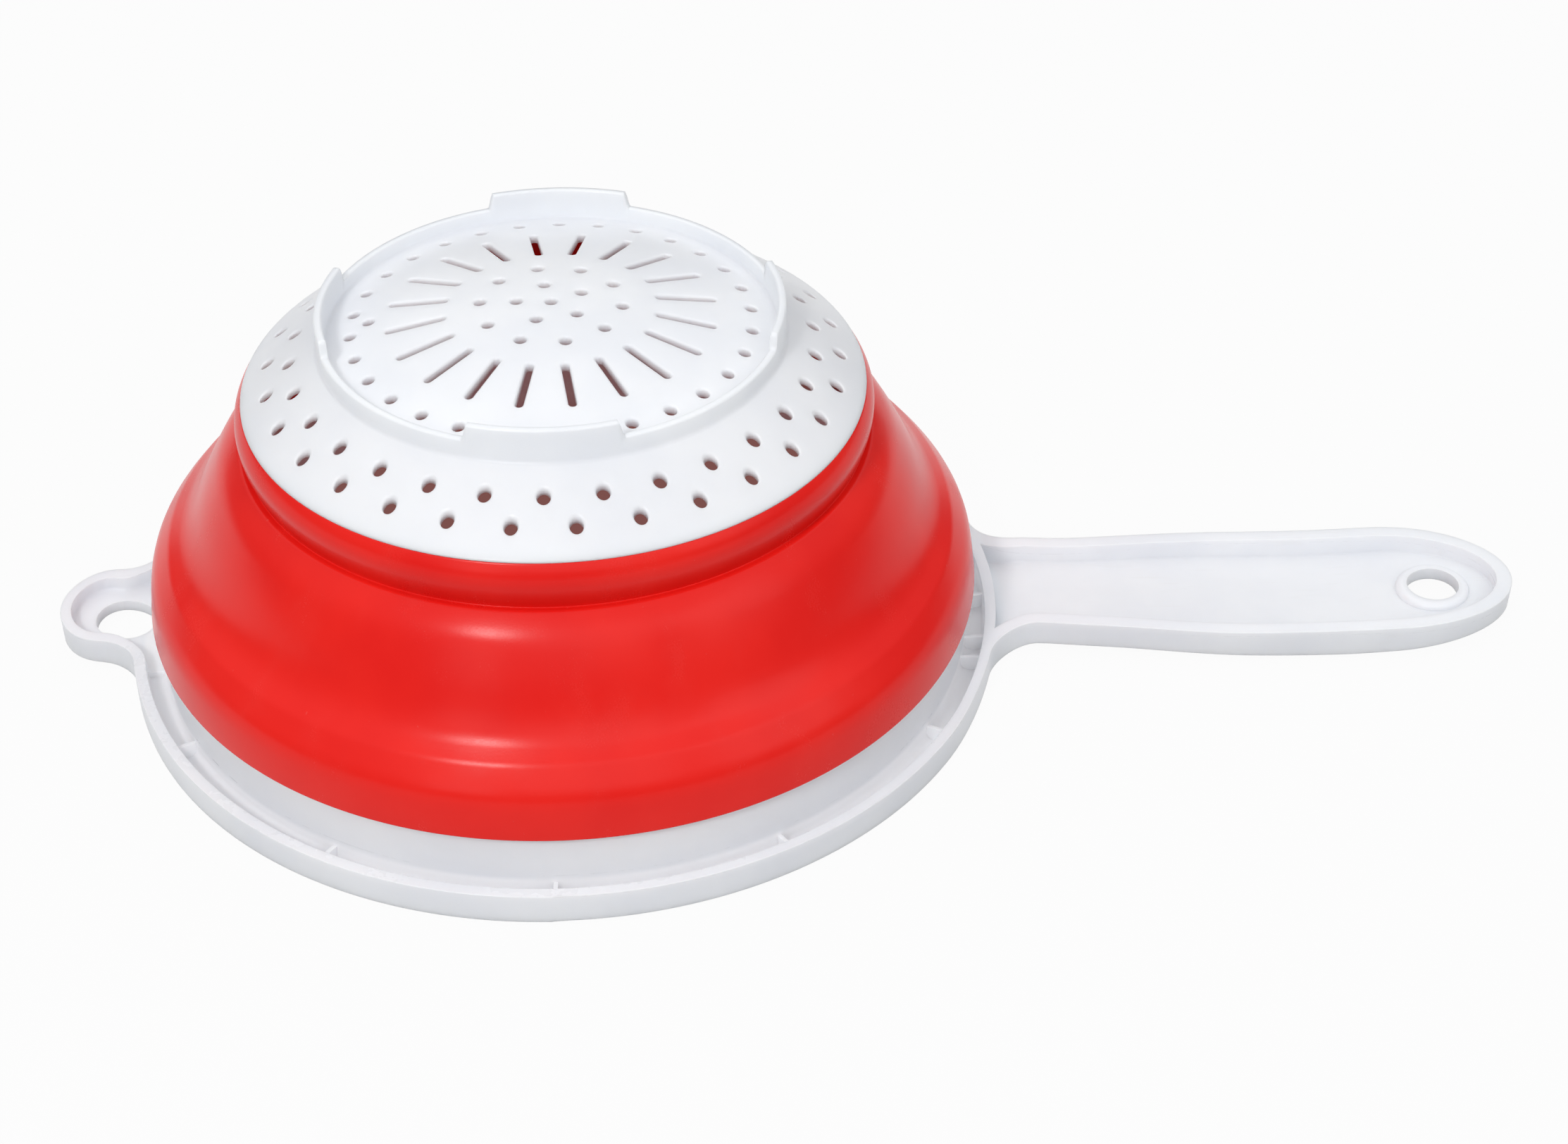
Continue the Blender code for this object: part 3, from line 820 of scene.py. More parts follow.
@dataclass(frozen=True)
class Stance:
    """How the real frame strays from a flat and round one.

    Every distance is measured from the bowl's axis, and a pair of them holds where a change starts
    and where it ends.
    """

    leave_table: Point2 = (111.0 * MM, 128.0 * MM)
    handle_low: float = 3.7 * MM
    handle_low_bends: tuple[Ease, ...] = (
        Ease(-2.3 * MM, 132.0 * MM, 200.0 * MM),
        Ease(2.9 * MM, 205.0 * MM, 256.0 * MM),
    )
    handle_top: float = 2.6 * MM
    handle_top_bends: tuple[Ease, ...] = (
        Ease(-1.5 * MM, 132.0 * MM, 190.0 * MM),
        Ease(1.2 * MM, 200.0 * MM, 245.0 * MM),
    )
    loop_low: float = 1.7 * MM
    loop_top: float = 0.6 * MM
    oval: float = 1.0 * MM
    oval_from: Point2 = (108.5 * MM, 111.5 * MM)
    oval_to: Point2 = (120.0 * MM, 140.0 * MM)
    outer_wall: Point2 = (109.0 * MM, 114.0 * MM)
    root_shift: float = 1.6 * MM
    root_from: Point2 = (98.0 * MM, 112.0 * MM)
    root_to: Point2 = (116.0 * MM, 142.0 * MM)
    loop_shift: float = 0.8 * MM
    loop_swell: float = 1.6 * MM
    loop_half: float = 14.0 * MM
    loop_from: Point2 = (96.0 * MM, 110.0 * MM)
    loop_to: Point2 = (22.0 * MM, 46.0 * MM)
    loop_hole_keep: Point2 = (9.5 * MM, 13.5 * MM)

    def rise(self, x: float, y: float) -> tuple[float, float]:
        """Tell how far the frame stands above a flat one.

        Args:
            x: the distance along the handle.
            y: the distance across it.

        Returns:
            How far the underside is raised, and how far the top is.
        """
        leave = smooth(math.hypot(x, y), *self.leave_table)
        if x <= 0.0:
            return self.loop_low * leave, self.loop_top * leave
        low = self.handle_low * leave + sum(bend.at(x) for bend in self.handle_low_bends)
        top = self.handle_top * leave + sum(bend.at(x) for bend in self.handle_top_bends)
        return low, top

    def shift(self, x: float, y: float, from_hole: float) -> Point2:
        """Tell how far the frame's outer wall moves in plan.

        Args:
            x: the distance along the handle.
            y: the distance across it.
            from_hole: the distance from the middle of the loop's hole.

        Returns:
            The move along the handle, and the move across it.
        """
        radius = math.hypot(x, y)
        oval = smooth(radius, *self.oval_from) * (1.0 - smooth(radius, *self.oval_to))
        outer = smooth(radius, *self.outer_wall)
        root = outer * smooth(x, *self.root_from) * (1.0 - smooth(x, *self.root_to))
        loop = outer * smooth(-x, *self.loop_from) * (1.0 - smooth(abs(y), *self.loop_to))
        loop *= smooth(from_hole, *self.loop_hole_keep)
        swell = self.loop_swell * max(-1.0, min(1.0, y / self.loop_half))
        return self.oval * oval * x / radius, self.root_shift * root + (self.loop_shift + swell) * loop


@dataclass
class RimFrame:
    """The ring with its collar, the long handle and the helper loop, in one moulding."""

    material: bpy.types.Material
    stance: Stance = Stance()
    ring_r: float = 115.0 * MM
    skirt_height: float = 8.3 * MM
    skirt: float = 3.0 * MM
    deck: float = 2.2 * MM
    crest_round: float = 1.3 * MM
    edge_round: float = 0.4 * MM
    edge_angle_deg: float = 42.0
    round_steps: int = 5
    gutter_r: float = 112.0 * MM
    gutter_round: float = 0.9 * MM
    collar_outer_r: float = 107.7 * MM
    collar_inner_r: float = COLLAR_INNER_R
    collar_height: float = 27.0 * MM
    collar_rows: tuple[float, ...] = (12.0 * MM, 19.0 * MM)
    collar_steps: int = 480
    cove_r: float = 2.6 * MM
    cove_steps: int = 6
    rib_thick: float = 1.1 * MM
    rib_height: float = 6.2 * MM
    rib_clear: float = 0.5 * MM
    rib_count: int = 12
    root_ribs_deg: tuple[float, ...] = (-14.0, -9.5, 9.5, 14.0)
    tip_x: float = 258.5 * MM
    end_x: float = 223.5 * MM
    half_width: float = 22.9 * MM
    neck_x: float = 128.0 * MM
    neck_half_width: float = 19.2 * MM
    taper: float = 56.0 * MM
    lip: float = 4.2 * MM
    fillet_r: float = 14.0 * MM
    channel_round: float = 3.0 * MM
    tip_steps: int = 36
    side_steps: int = 24
    hang_x: float = 237.6 * MM
    hang_r: float = 7.0 * MM
    boss_r: float = 9.9 * MM
    boss_height: float = 4.2 * MM
    boss_round: float = 1.8 * MM
    loop_x: float = -122.9 * MM
    loop_r: float = 14.2 * MM
    loop_fillet_r: float = 11.0 * MM
    loop_floor: float = 3.4 * MM
    loop_round: float = 1.2 * MM
    loop_hole_x: float = -119.3 * MM
    loop_hole_r: float = 8.2 * MM
    disc_step: float = 1.4 * MM
    overlap: float = 1.0 * MM
    clear: float = 3.0 * MM
    through: float = 40.0 * MM
    slice_x: float = 113.5 * MM
    slice_gap: float = 4.0 * MM
    slice_count: int = 38

    def side(self, x: float, inset: float) -> float:
        """Return the handle's half width at a distance from the bowl's axis."""
        share = smooth(x, self.neck_x, self.neck_x + self.taper)
        return self.neck_half_width + (self.half_width - self.neck_half_width) * share - inset

    def handle_fillet(self) -> Point2:
        """Return the centre of the fillet between the ring and the handle."""
        y = self.neck_half_width + self.fillet_r
        return (math.sqrt((self.ring_r + self.fillet_r) ** 2 - y**2), y)

    def loop_fillet(self) -> Point2:
        """Return the centre of the fillet between the ring and the loop."""
        to_ring = self.ring_r + self.loop_fillet_r
        return circles_meet((0.0, 0.0), to_ring, (self.loop_x, 0.0), self.loop_r + self.loop_fillet_r)

    def handle_half(self, inset: float, fillet_end_deg: float) -> list[Point2]:
        """Draw half of the handle's outline, from its tip to the end of its fillet.

        Args:
            inset: how far inside the handle's edge the outline runs.
            fillet_end_deg: the angle at which the fillet ends.

        Returns:
            The outline's points.
        """
        length = self.tip_x - self.end_x - inset
        width = self.half_width - inset
        turns = [math.pi / 2.0 * i / self.tip_steps for i in range(self.tip_steps)]
        points = [(self.end_x + length * math.cos(t), width * math.sin(t)) for t in turns]
        centre = self.handle_fillet()
        run = centre[0] - self.end_x
        places = [self.end_x + run * i / self.side_steps for i in range(self.side_steps)]
        points += [(x, self.side(x, inset)) for x in places]
        return points + arc(self.fillet_r + inset, 270.0, fillet_end_deg, centre)

    def loop_half(self, inset: float, fillet_start_deg: float) -> list[Point2]:
        """Draw half of the loop's outline, from its fillet to its tip.

        Args:
            inset: how far inside the loop's edge the outline runs.
            fillet_start_deg: the angle at which the fillet starts.

        Returns:
            The outline's points.
        """
        fillet = self.loop_fillet()
        centre = (self.loop_x, 0.0)
        turn = 360.0 + bearing(centre, fillet)
        points = arc(self.loop_fillet_r + inset, fillet_start_deg, turn, fillet)
        return points + arc(self.loop_r - inset, bearing(fillet, centre), 180.0, centre)[1:]

    def outline(self) -> list[Point2]:
        """Draw the outline of the whole frame.

        Returns:
            The outline's points.
        """
        handle_deg = bearing(self.handle_fillet())
        loop_deg = bearing(self.loop_fillet())
        half = self.handle_half(0.0, 180.0 + handle_deg)
        half += arc(self.ring_r, handle_deg, loop_deg)[1:-1]
        return mirrored(half + self.loop_half(0.0, 180.0 + loop_deg))

    def handle_pocket(self) -> list[Point2]:
        """Draw the outline of the handle's channel, up to the ring's wall.

        Returns:
            The outline's points.
        """
        centre = self.handle_fillet()
        corner = circles_meet((0.0, 0.0), self.ring_r, centre, self.fillet_r + self.lip)
        half = self.handle_half(self.lip, 360.0 + bearing(corner, centre))
        return mirrored(half + arc(self.ring_r, bearing(corner), 0.0)[1:])

    def recess(self) -> list[Point2]:
        """Draw the outline of the hollow inside the ring and the loop.

        Returns:
            The outline's points.
        """
        loop_deg = bearing(self.loop_fillet())
        half = arc(self.gutter_r, 0.0, loop_deg)
        return mirrored(half + self.loop_half(self.skirt, 180.0 + loop_deg)[1:])

    def gutter(self) -> list[Point2]:
        """Draw the outline of the deeper gutter, which stops at the loop.

        Returns:
            The outline's points.
        """
        loop_deg = bearing(self.loop_fillet())
        half = arc(self.gutter_r, 0.0, loop_deg)
        return mirrored(half + arc(self.collar_outer_r - self.overlap, loop_deg, 180.0))

    def ribs(self) -> Shape:
        """Build the short ribs across the gutter, all but the one that would stand in the loop.

        Returns:
            The ribs.
        """
        shape = Shape()
        around = [360.0 * i / self.rib_count for i in range(self.rib_count)]
        inner = self.collar_outer_r - self.overlap
        outer = self.gutter_r + self.overlap
        half = self.rib_thick / 2.0
        corners = ((inner, -half), (outer, -half), (outer, half), (inner, half))
        for degrees in around + list(self.root_ribs_deg):
            if degrees == 180.0:
                continue
            turn = Matrix.Rotation(math.radians(degrees), 2)
            outline = [tuple(turn @ Vector(corner)) for corner in corners]
            shape.prism(outline, self.deck / 2.0, self.rib_height)
        return shape

    def disc(self, radius: float, low: float, high: float, x: float = 0.0) -> Shape:
        """Build an upright round prism.

        Args:
            radius: its radius.
            low: the height of its bottom.
            high: the height of its top.
            x: how far its axis is from the bowl's, along the handle.

        Returns:
            The prism.
        """
        shape = Shape()
        shape.prism(arc(radius, 0.0, 360.0, (x, 0.0), self.disc_step)[:-1], low, high)
        return shape

    def collar(self) -> Shape:
        """Build the solid of the collar, with a cove where it stands in the gutter.

        Returns:
            The collar's outside, which the bowl's opening is cut from later.
        """
        profile = [(self.collar_outer_r + self.cove_r, self.deck / 2.0)]
        for sine, rest in quarter(self.cove_steps):
            reach = self.cove_r * (1.0 - sine)
            profile.append((self.collar_outer_r + reach, self.deck + self.cove_r * rest))
        rows = (self.rib_height + self.rib_clear, *self.collar_rows, self.collar_height)
        profile += [(self.collar_outer_r, z) for z in rows]
        shape = Shape()
        loops = shape.turned(profile, self.collar_steps)
        shape.faces += [tuple(reversed(loops[0])), tuple(loops[-1])]
        return shape

    def slice(self, item: bpy.types.Object) -> None:
        """Cut the handle and the loop across, so that their faces can follow a bend.

        Args:
            item: the frame.
        """
        places = []
        for step in range(self.slice_count):
            x = self.slice_x + step * self.slice_gap
            places += [-x, x] if x <= self.loop_r - self.loop_x else [x]
        with opened(item.data) as work:
            for x in places:
                cut = {"plane_co": (BOWL_X + x, 0.0, 0.0), "plane_no": (1.0, 0.0, 0.0), "dist": WELD}
                whole = work.verts[:] + work.edges[:] + work.faces[:]
                bmesh.ops.bisect_plane(work, geom=whole, **cut)

    def bend(self, item: bpy.types.Object) -> None:
        """Move the points of the flat and round frame to where the real one has them.

        Args:
            item: the frame.
        """
        for vert in item.data.vertices:
            x, y, z = vert.co.x - BOWL_X, vert.co.y, vert.co.z
            low, top = self.stance.rise(x, y)
            along, across = self.stance.shift(x, y, math.hypot(x - self.loop_hole_x, y))
            rise = low + (top - low) * min(z / self.skirt_height, 1.0)
            vert.co = (vert.co.x + along, y + across, z + rise)

    def combine(
        self, item: bpy.types.Object, shape: Shape, operation: str, soft: tuple[float, ...] = ()
    ) -> bpy.types.Object:
        """Cut a shape from an object, or join it on.

        Args:
            item: the object that changes.
            shape: what is cut away or joined.
            operation: DIFFERENCE or UNION.
            soft: the height of the shape's edges to round first, and the rounding's reach.

        Returns:
            The helper object, to be removed later.
        """
        tool = shape.place(f"{item.name}_tool")
        if soft:
            round_edges(tool, *soft, self.round_steps)
        cut = item.modifiers.new(operation.lower(), "BOOLEAN")
        cut.operation = operation
        cut.solver = "EXACT"
        cut.object = tool
        return tool

    def hollow(self, outline: list[Point2], floor: float) -> Shape:
        """Build the solid that is cut away above a floor.

        Args:
            outline: the hollow's outline.
            floor: the height of its floor.

        Returns:
            The solid.
        """
        shape = Shape()
        shape.prism(outline, floor, self.skirt_height + self.clear)
        return shape

    def shape_body(self, item: bpy.types.Object) -> None:
        """Cut the hollows and the holes from the frame's body, and join its raised parts on.

        Args:
            item: the frame's body.
        """
        boss = self.disc(self.boss_r, self.deck / 2.0, self.boss_height, self.hang_x)
        steps = (
            (self.hollow(self.recess(), self.loop_floor), "DIFFERENCE", (self.loop_floor, self.loop_round)),
            (self.hollow(self.gutter(), self.deck), "DIFFERENCE", (self.deck, self.gutter_round)),
            (self.hollow(self.handle_pocket(), self.deck), "DIFFERENCE", (self.deck, self.channel_round)),
            (self.collar(), "UNION"),
            (self.ribs(), "UNION"),
            (boss, "UNION", (self.boss_height, self.boss_round)),
            (self.disc(self.collar_inner_r, -self.through, self.through), "DIFFERENCE"),
            (self.disc(self.hang_r, -self.through, self.through, self.hang_x), "DIFFERENCE"),
            (self.disc(self.loop_hole_r, -self.through, self.through, self.loop_hole_x), "DIFFERENCE"),
        )
        tools = [self.combine(item, *step) for step in steps]
        settle(item)
        clean(item)
        for tool in tools:
            bpy.data.objects.remove(tool, do_unlink=True)

    def soften(self, item: bpy.types.Object) -> None:
        """Round the frame's crest, and then every other sharp edge a little.

        Args:
            item: the frame.
        """
        round_edges(item, self.skirt_height, self.crest_round, self.round_steps)
        edges = item.modifiers.new("edges", "BEVEL")
        edges.width = self.edge_round
        edges.segments = 2
        edges.angle_limit = math.radians(self.edge_angle_deg)
        edges.use_clamp_overlap = True
        settle(item)
        clean(item)

    def build(self) -> bpy.types.Object:
        """Build the frame, riding on the rim's body.

        Returns:
            The finished frame.
        """
        body = Shape()
        body.prism(self.outline(), 0.0, self.skirt_height)
        item = body.place("rim_frame_moulding")
        self.shape_body(item)
        self.soften(item)
        self.slice(item)
        self.bend(item)
        even = item.modifiers.new("even", "WEIGHTED_NORMAL")
        even.mode = "FACE_AREA"
        settle(item)
        wear(item, self.material, Slot.WHITE, (Node.RIM_FRAME,))
        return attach(item, Body.RIM.value)


@dataclass
class SoftWall:
    """The folding wall: three bands in one moulding, with a fold between each two.

    The corners down its outside hold a radius, a height and how far the rounding reaches, in
    millimetres.
    """

    material: bpy.types.Material
    steps: int = 288
    thick: float = 2.0 * MM
    slant: float = 1.16
    edge_z: float = 21.0 * MM
    shoulder_r: float = 98.0 * MM
    shoulder_z: float = 39.3 * MM
    groove_r: float = 81.4 * MM
    groove_z: float = 67.4 * MM
    seat_r: float = 75.5 * MM
    top_z: float = 79.7 * MM
    collar_r: float = 108.0 * MM
    collar_inner_r: float = COLLAR_INNER_R
    collar_z: float = 27.3 * MM
    inner_bend_z: float = 31.0 * MM
    inner_bend_round: float = 2.0 * MM
    edge_round: float = 0.3 * MM
    lap_round: float = 0.4 * MM
    shoulder_out: float = 1.6 * MM
    shoulder_drop: float = 3.2 * MM
    shoulder_lift: float = 1.0 * MM
    shoulder_round: float = 4.0 * MM
    seat_lift: float = 0.9 * MM
    outside: tuple[Point3, ...] = (
        (79.2, 79.7, 0.5),
        (80.7, 77.4, 1.8),
        (81.5, 74.6, 1.8),
        (80.9, 70.6, 2.4),
        (79.4, 67.0, 0.5),
        (81.3, 67.4, 0.7),
        (86.4, 62.9, 3.0),
        (91.2, 54.8, 4.4),
        (97.0, 43.1, 6.0),
        (102.8, 38.6, 0.9),
        (108.0, 32.2, 3.4),
        (109.5, 21.0, 0.5),
    )

    def section(self) -> list[Point2]:
        """Draw the closed section, down the outside and up the inside.

        Returns:
            The section's points.
        """
        width = self.thick * self.slant
        below_r = self.shoulder_r + self.shoulder_out
        above_r = self.shoulder_r - width - self.shoulder_out
        inside = [
            (self.collar_r, self.edge_z, self.edge_round),
            (self.collar_r, self.collar_z, 0.0),
            (self.collar_inner_r, self.collar_z, self.lap_round),
            (self.collar_inner_r, self.inner_bend_z, self.inner_bend_round),
            (below_r, self.shoulder_z - self.shoulder_drop, self.inner_bend_round),
            (above_r, self.shoulder_z + self.shoulder_lift, self.shoulder_round),
            (self.groove_r - width, self.groove_z, self.lap_round),
            (self.seat_r, self.groove_z + self.seat_lift, self.edge_round),
            (self.seat_r, self.top_z, 0.0),
        ]
        return rounded([tuple(size * MM for size in corner) for corner in self.outside] + inside)

    def build(self) -> bpy.types.Object:
        """Build the wall, with its place baked into its mesh.

        Returns:
            The finished wall.
        """
        shape = Shape()
        loops = shape.turned(self.section(), self.steps)
        shape.bridge(loops[-1], loops[0])
        item = shape.place("soft_wall_moulding")
        wear(item, self.material, Slot.RED, (Node.OUTER_BAND, Node.FOLD_BAND, Node.INNER_BAND))
        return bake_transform(item)


@dataclass(frozen=True)
class Hole:
    """One opening of the base: round, or a radial slot with round ends."""

    ring_r: float
    turn_deg: float
    radius: float = 1.5 * MM
    length: float = 0.0
    soft: float = 0.6 * MM
    sides: int = 28

    def outline(self, share: float) -> list[Point2]:
        """Draw the opening's outline, at its throat or out on its softened edge.

        Args:
            share: 0 for the throat and 1 for the outer end of the softened edge.

        Returns:
            The outline, anticlockwise.
        """
        grow = self.soft * share
        turn = math.radians(self.turn_deg)
        half = self.sides // 2
        points = []
        for end, first in ((self.length / 2.0, -90.0), (-self.length / 2.0, 90.0)):
            centre = polar(self.ring_r + end, turn)
            for step in range(half + 1 if self.length else half):
                angle = turn + math.radians(first + 180.0 * step / half)
                points.append(polar(self.radius + grow, angle, centre))
        return points

    def holds(self, point: Point2, share: float, margin: float = 0.0) -> bool:
        """Tell whether a plan point lies in the opening, or closer to it than a margin.

        Args:
            point: the point.
            share: 0 for the throat and 1 for the outer end of the softened edge.
            margin: how far outside the outline still counts.

        Returns:
            Whether it does.
        """
        turn = math.radians(self.turn_deg)
        along = point[0] * math.cos(turn) + point[1] * math.sin(turn) - self.ring_r
        across = -point[0] * math.sin(turn) + point[1] * math.cos(turn)
        spare = max(abs(along) - self.length / 2.0, 0.0)
        return math.hypot(spare, across) < self.radius + self.soft * share + margin


@dataclass
class StrainerBase:
    """The domed base with its openings, foot ring, tabs and flange.

    Each ring of openings holds the first of them and how many stand round the axis.
    """

    material: bpy.types.Material
    steps: int = 240
    step_gap_deg: float = 0.45
    thick: float = 2.5 * MM
    cone_thick: float = 1.9 * MM
    dome_top_z: float = 102.0 * MM
    dome_rise: float = 8.5 * MM
    edge_r: float = 79.4 * MM
    edge_z: float = 79.9 * MM
    edge_round: float = 0.7 * MM
    edge_bulge: float = 0.1 * MM
    edge_tuck: float = 0.15 * MM
    cone_slope: float = 0.809
    cone_bend: float = 6.86
    foot_inner_r: float = 56.7 * MM
    foot_outer_r: float = 58.7 * MM
    foot_inner_fillet: float = 0.8 * MM
    foot_outer_fillet: float = 1.0 * MM
    foot_fillet_stretch: float = 1.4
    foot_round: float = 0.55 * MM
    foot_steps: int = 3
    foot_z: float = 98.2 * MM
    tab_z: float = 102.4 * MM
    tab_half_deg: float = 17.6
    tab_ramp_deg: float = 1.4
    tab_steps_deg: tuple[float, ...] = (-0.5, -0.2, 0.05, 0.5, 0.9, 1.3, 1.75, 2.0, 2.3)
    tab_count: int = 4
    flange_outer_r: float = 78.0 * MM
    flange_inner_r: float = 76.2 * MM
    flange_low_z: float = 68.6 * MM
    flange_round: float = 0.4 * MM
    flange_fillet: float = 0.8 * MM
    flange_root: float = 1.0 * MM
    ledge_drop: float = 0.25 * MM
    lower_share: float = 0.3
    grid: float = 2.6 * MM
    grid_margin: float = 0.7 * MM
    rings: tuple[tuple[Hole, int], ...] = (
        (Hole(0.0, 0.0), 1),
        (Hole(8.7 * MM, 31.3), 5),
        (Hole(17.9 * MM, 31.3), 10),
        (Hole(34.0 * MM, 9.0, 1.0 * MM, length=13.2 * MM, soft=0.65 * MM, sides=16), 20),
        (Hole(50.3 * MM, 6.0), 30),
        (Hole(45.8 * MM, 180.0), 1),
        (Hole(66.1 * MM, 6.0, 1.65 * MM, soft=0.75 * MM), 30),
        (Hole(72.3 * MM, 0.0, 1.65 * MM, soft=0.75 * MM), 30),
    )

    def holes(self) -> list[Hole]:
        """List every opening of the base.

        Returns:
            The openings, ring by ring.
        """
        found = []
        for first, count in self.rings:
            found += [replace(first, turn_deg=first.turn_deg + 360.0 / count * i) for i in range(count)]
        return found

    def turns(self) -> list[float]:
        """List the angles of the turned parts, closer together at the ends of the tabs.

        Returns:
            The angles in radians, in order.
        """
        fine = []
        for tab in range(self.tab_count):
            middle = 360.0 * tab / self.tab_count
            for side in (-1.0, 1.0):
                ends = [self.tab_half_deg + step for step in self.tab_steps_deg]
                fine += [(middle + side * end) % 360.0 for end in ends]
        plain = [360.0 * i / self.steps for i in range(self.steps)]
        kept = [a for a in plain if min(abs(a - b) for b in fine) > self.step_gap_deg]
        return [math.radians(a) for a in sorted(kept + fine)]

    def height(self, radius: float) -> float:
        """Tell the height of the upper face.

        Args:
            radius: the distance from the axis.

        Returns:
            The height.
        """
        if radius < (self.foot_inner_r + self.foot_outer_r) / 2.0:
            return self.dome_top_z - self.dome_rise * (radius / self.foot_outer_r) ** 2
        run = self.edge_r - radius
        return self.edge_z + self.cone_slope * run - self.cone_bend * run * run

    def under(self, radius: float) -> float:
        """Tell the height of the lower face.

        Args:
            radius: the distance from the axis.

        Returns:
            The height.
        """
        step = 0.1 * MM
        slope = (self.height(radius) - self.height(max(radius - step, 0.0))) / step
        cone = smooth(radius, self.foot_inner_r, self.foot_outer_r + self.foot_outer_fillet)
        thick = self.thick + (self.cone_thick - self.thick) * cone
        return self.height(radius) - thick * math.hypot(1.0, slope)

    def foot_top(self, turn: float) -> float:
        """Tell the height of the foot ring's top, which is higher at the tabs.

        Args:
            turn: the angle in radians.

        Returns:
            The height.
        """
        pitch = 360.0 / self.tab_count
        away = abs((math.degrees(turn) + pitch / 2.0) % pitch - pitch / 2.0)
        share = 1.0 - smooth(away, self.tab_half_deg, self.tab_half_deg + self.tab_ramp_deg)
        return self.foot_z + (self.tab_z - self.foot_z) * share

    def ring(self, shape: Shape, radius: float, height: Callable[[float], float]) -> list[int]:
        """Add one circle whose height depends on the angle."""
        return shape.loop([(*polar(radius, turn), height(turn)) for turn in self.turns()])

    def grid_points(self, inner: float, outer: float) -> list[Point2]:
        """Spread points evenly over a sheet, in staggered circles.

        Args:
            inner: the sheet's inner radius, or 0 for a disc.
            outer: its outer radius.

        Returns:
            The points.
        """
        points = []
        rows = max(2, round((outer - inner) / self.grid))
        for row in range(1 if inner else 0, rows):
            radius = inner + (outer - inner) * row / rows
            count = max(6, round(2.0 * math.pi * radius / self.grid)) if radius else 1
            stagger = 0.5 * (row % 2)
            points += [polar(radius, 2.0 * math.pi * (i + stagger) / count) for i in range(count)]
        return points

    def sheet(
        self, shape: Shape, radii: Point2, face: Callable[[float], float], share: float
    ) -> None:
        """Add one perforated sheet between two radii.

        Args:
            shape: the mesh that the sheet is added to.
            radii: the inner and outer radius; an inner radius of 0 makes a disc.
            face: the height of the sheet at a radius.
            share: how far out on their softened edges the openings are cut.
        """
        inner, outer = radii
        holes = [hole for hole in self.holes() if inner - 2.0 * hole.radius < hole.ring_r < outer]
        points: list[Point2] = []
        edges: list[tuple[int, int]] = []
        rims = [[polar(radius, turn) for turn in self.turns()] for radius in (outer, inner) if radius]
        for line in rims + [hole.outline(share) for hole in holes]:
            first = len(points)
            points += line
            count = len(line)
            edges += [(first + i, first + (i + 1) % count) for i in range(count)]
        for point in self.grid_points(inner, outer):
            if not any(hole.holds(point, share, self.grid_margin) for hole in holes):
                points.append(point)
        tolerance = 1e-9
        found = delaunay_2d_cdt([Vector(point) for point in points], edges, [], 0, tolerance)
        verts = shape.loop([(v.x, v.y, face(v.length)) for v in found[0]])
        for triangle in found[2]:
            corners = [found[0][i] for i in triangle]
            middle = tuple(sum(corners, Vector((0.0, 0.0))) / 3.0)
            in_middle = inner and max(corner.length for corner in corners) < inner + WELD
            if not in_middle and not any(hole.holds(middle, share) for hole in holes):
                shape.faces.append(tuple(verts[i] for i in triangle))

    def hole_wall(self, shape: Shape, hole: Hole, steps: int = 5) -> None:
        """Add the wall of one opening, with a softened edge above and below.

        Args:
            shape: the mesh that the wall is added to.
            hole: the opening.
            steps: the number of steps in the upper edge.
        """
        loops = []
        for sine, rest in quarter(steps):
            drop = hole.soft * rest
            line = hole.outline(1.0 - sine)
            loops.append(shape.loop([(x, y, self.height(math.hypot(x, y)) - drop) for x, y in line]))
        rise = hole.soft * self.lower_share
        for share, lift in ((0.0, rise), (self.lower_share, 0.0)):
            line = hole.outline(share)
            loops.append(shape.loop([(x, y, self.under(math.hypot(x, y)) + lift) for x, y in line]))
        shape.bands(loops)

    def foot_ring(self, shape: Shape, inner_r: float, outer_r: float) -> None:
        """Add the foot ring's walls and top, with fillets at its root.

        Args:
            shape: the mesh that the ring is added to.
            inner_r: the radius at which the inner fillet starts.
            outer_r: the radius at which the outer fillet ends.
        """
        soft = self.foot_round
        inner_face, outer_face = self.height(inner_r), self.height(outer_r)
        inner_fillet, outer_fillet = self.foot_inner_r - inner_r, outer_r - self.foot_outer_r
        across = (self.foot_outer_r - self.foot_inner_r) / 2.0 - soft
        middle = (self.foot_outer_r + self.foot_inner_r) / 2.0
        profile: list[tuple[float, Callable[[float], float]]] = []
        for sine, rest in quarter(self.foot_steps):
            z = inner_face + inner_fillet * rest
            profile.append((inner_r + inner_fillet * sine, lambda turn, z=z: z))
        for step in range(2 * self.foot_steps + 1):
            angle = math.pi * step / (2 * self.foot_steps)
            side = across if angle > math.pi / 2.0 else -across
            radius = middle + side - soft * math.cos(angle)
            drop = soft * (1.0 - math.sin(angle))
            profile.append((radius, lambda turn, drop=drop: self.foot_top(turn) - drop))
        for sine, rest in reversed(quarter(self.foot_steps)):
            z = outer_face + outer_fillet * rest * self.foot_fillet_stretch
            profile.append((outer_r - outer_fillet * sine, lambda turn, z=z: z))
        shape.bands([self.ring(shape, radius, height) for radius, height in profile])

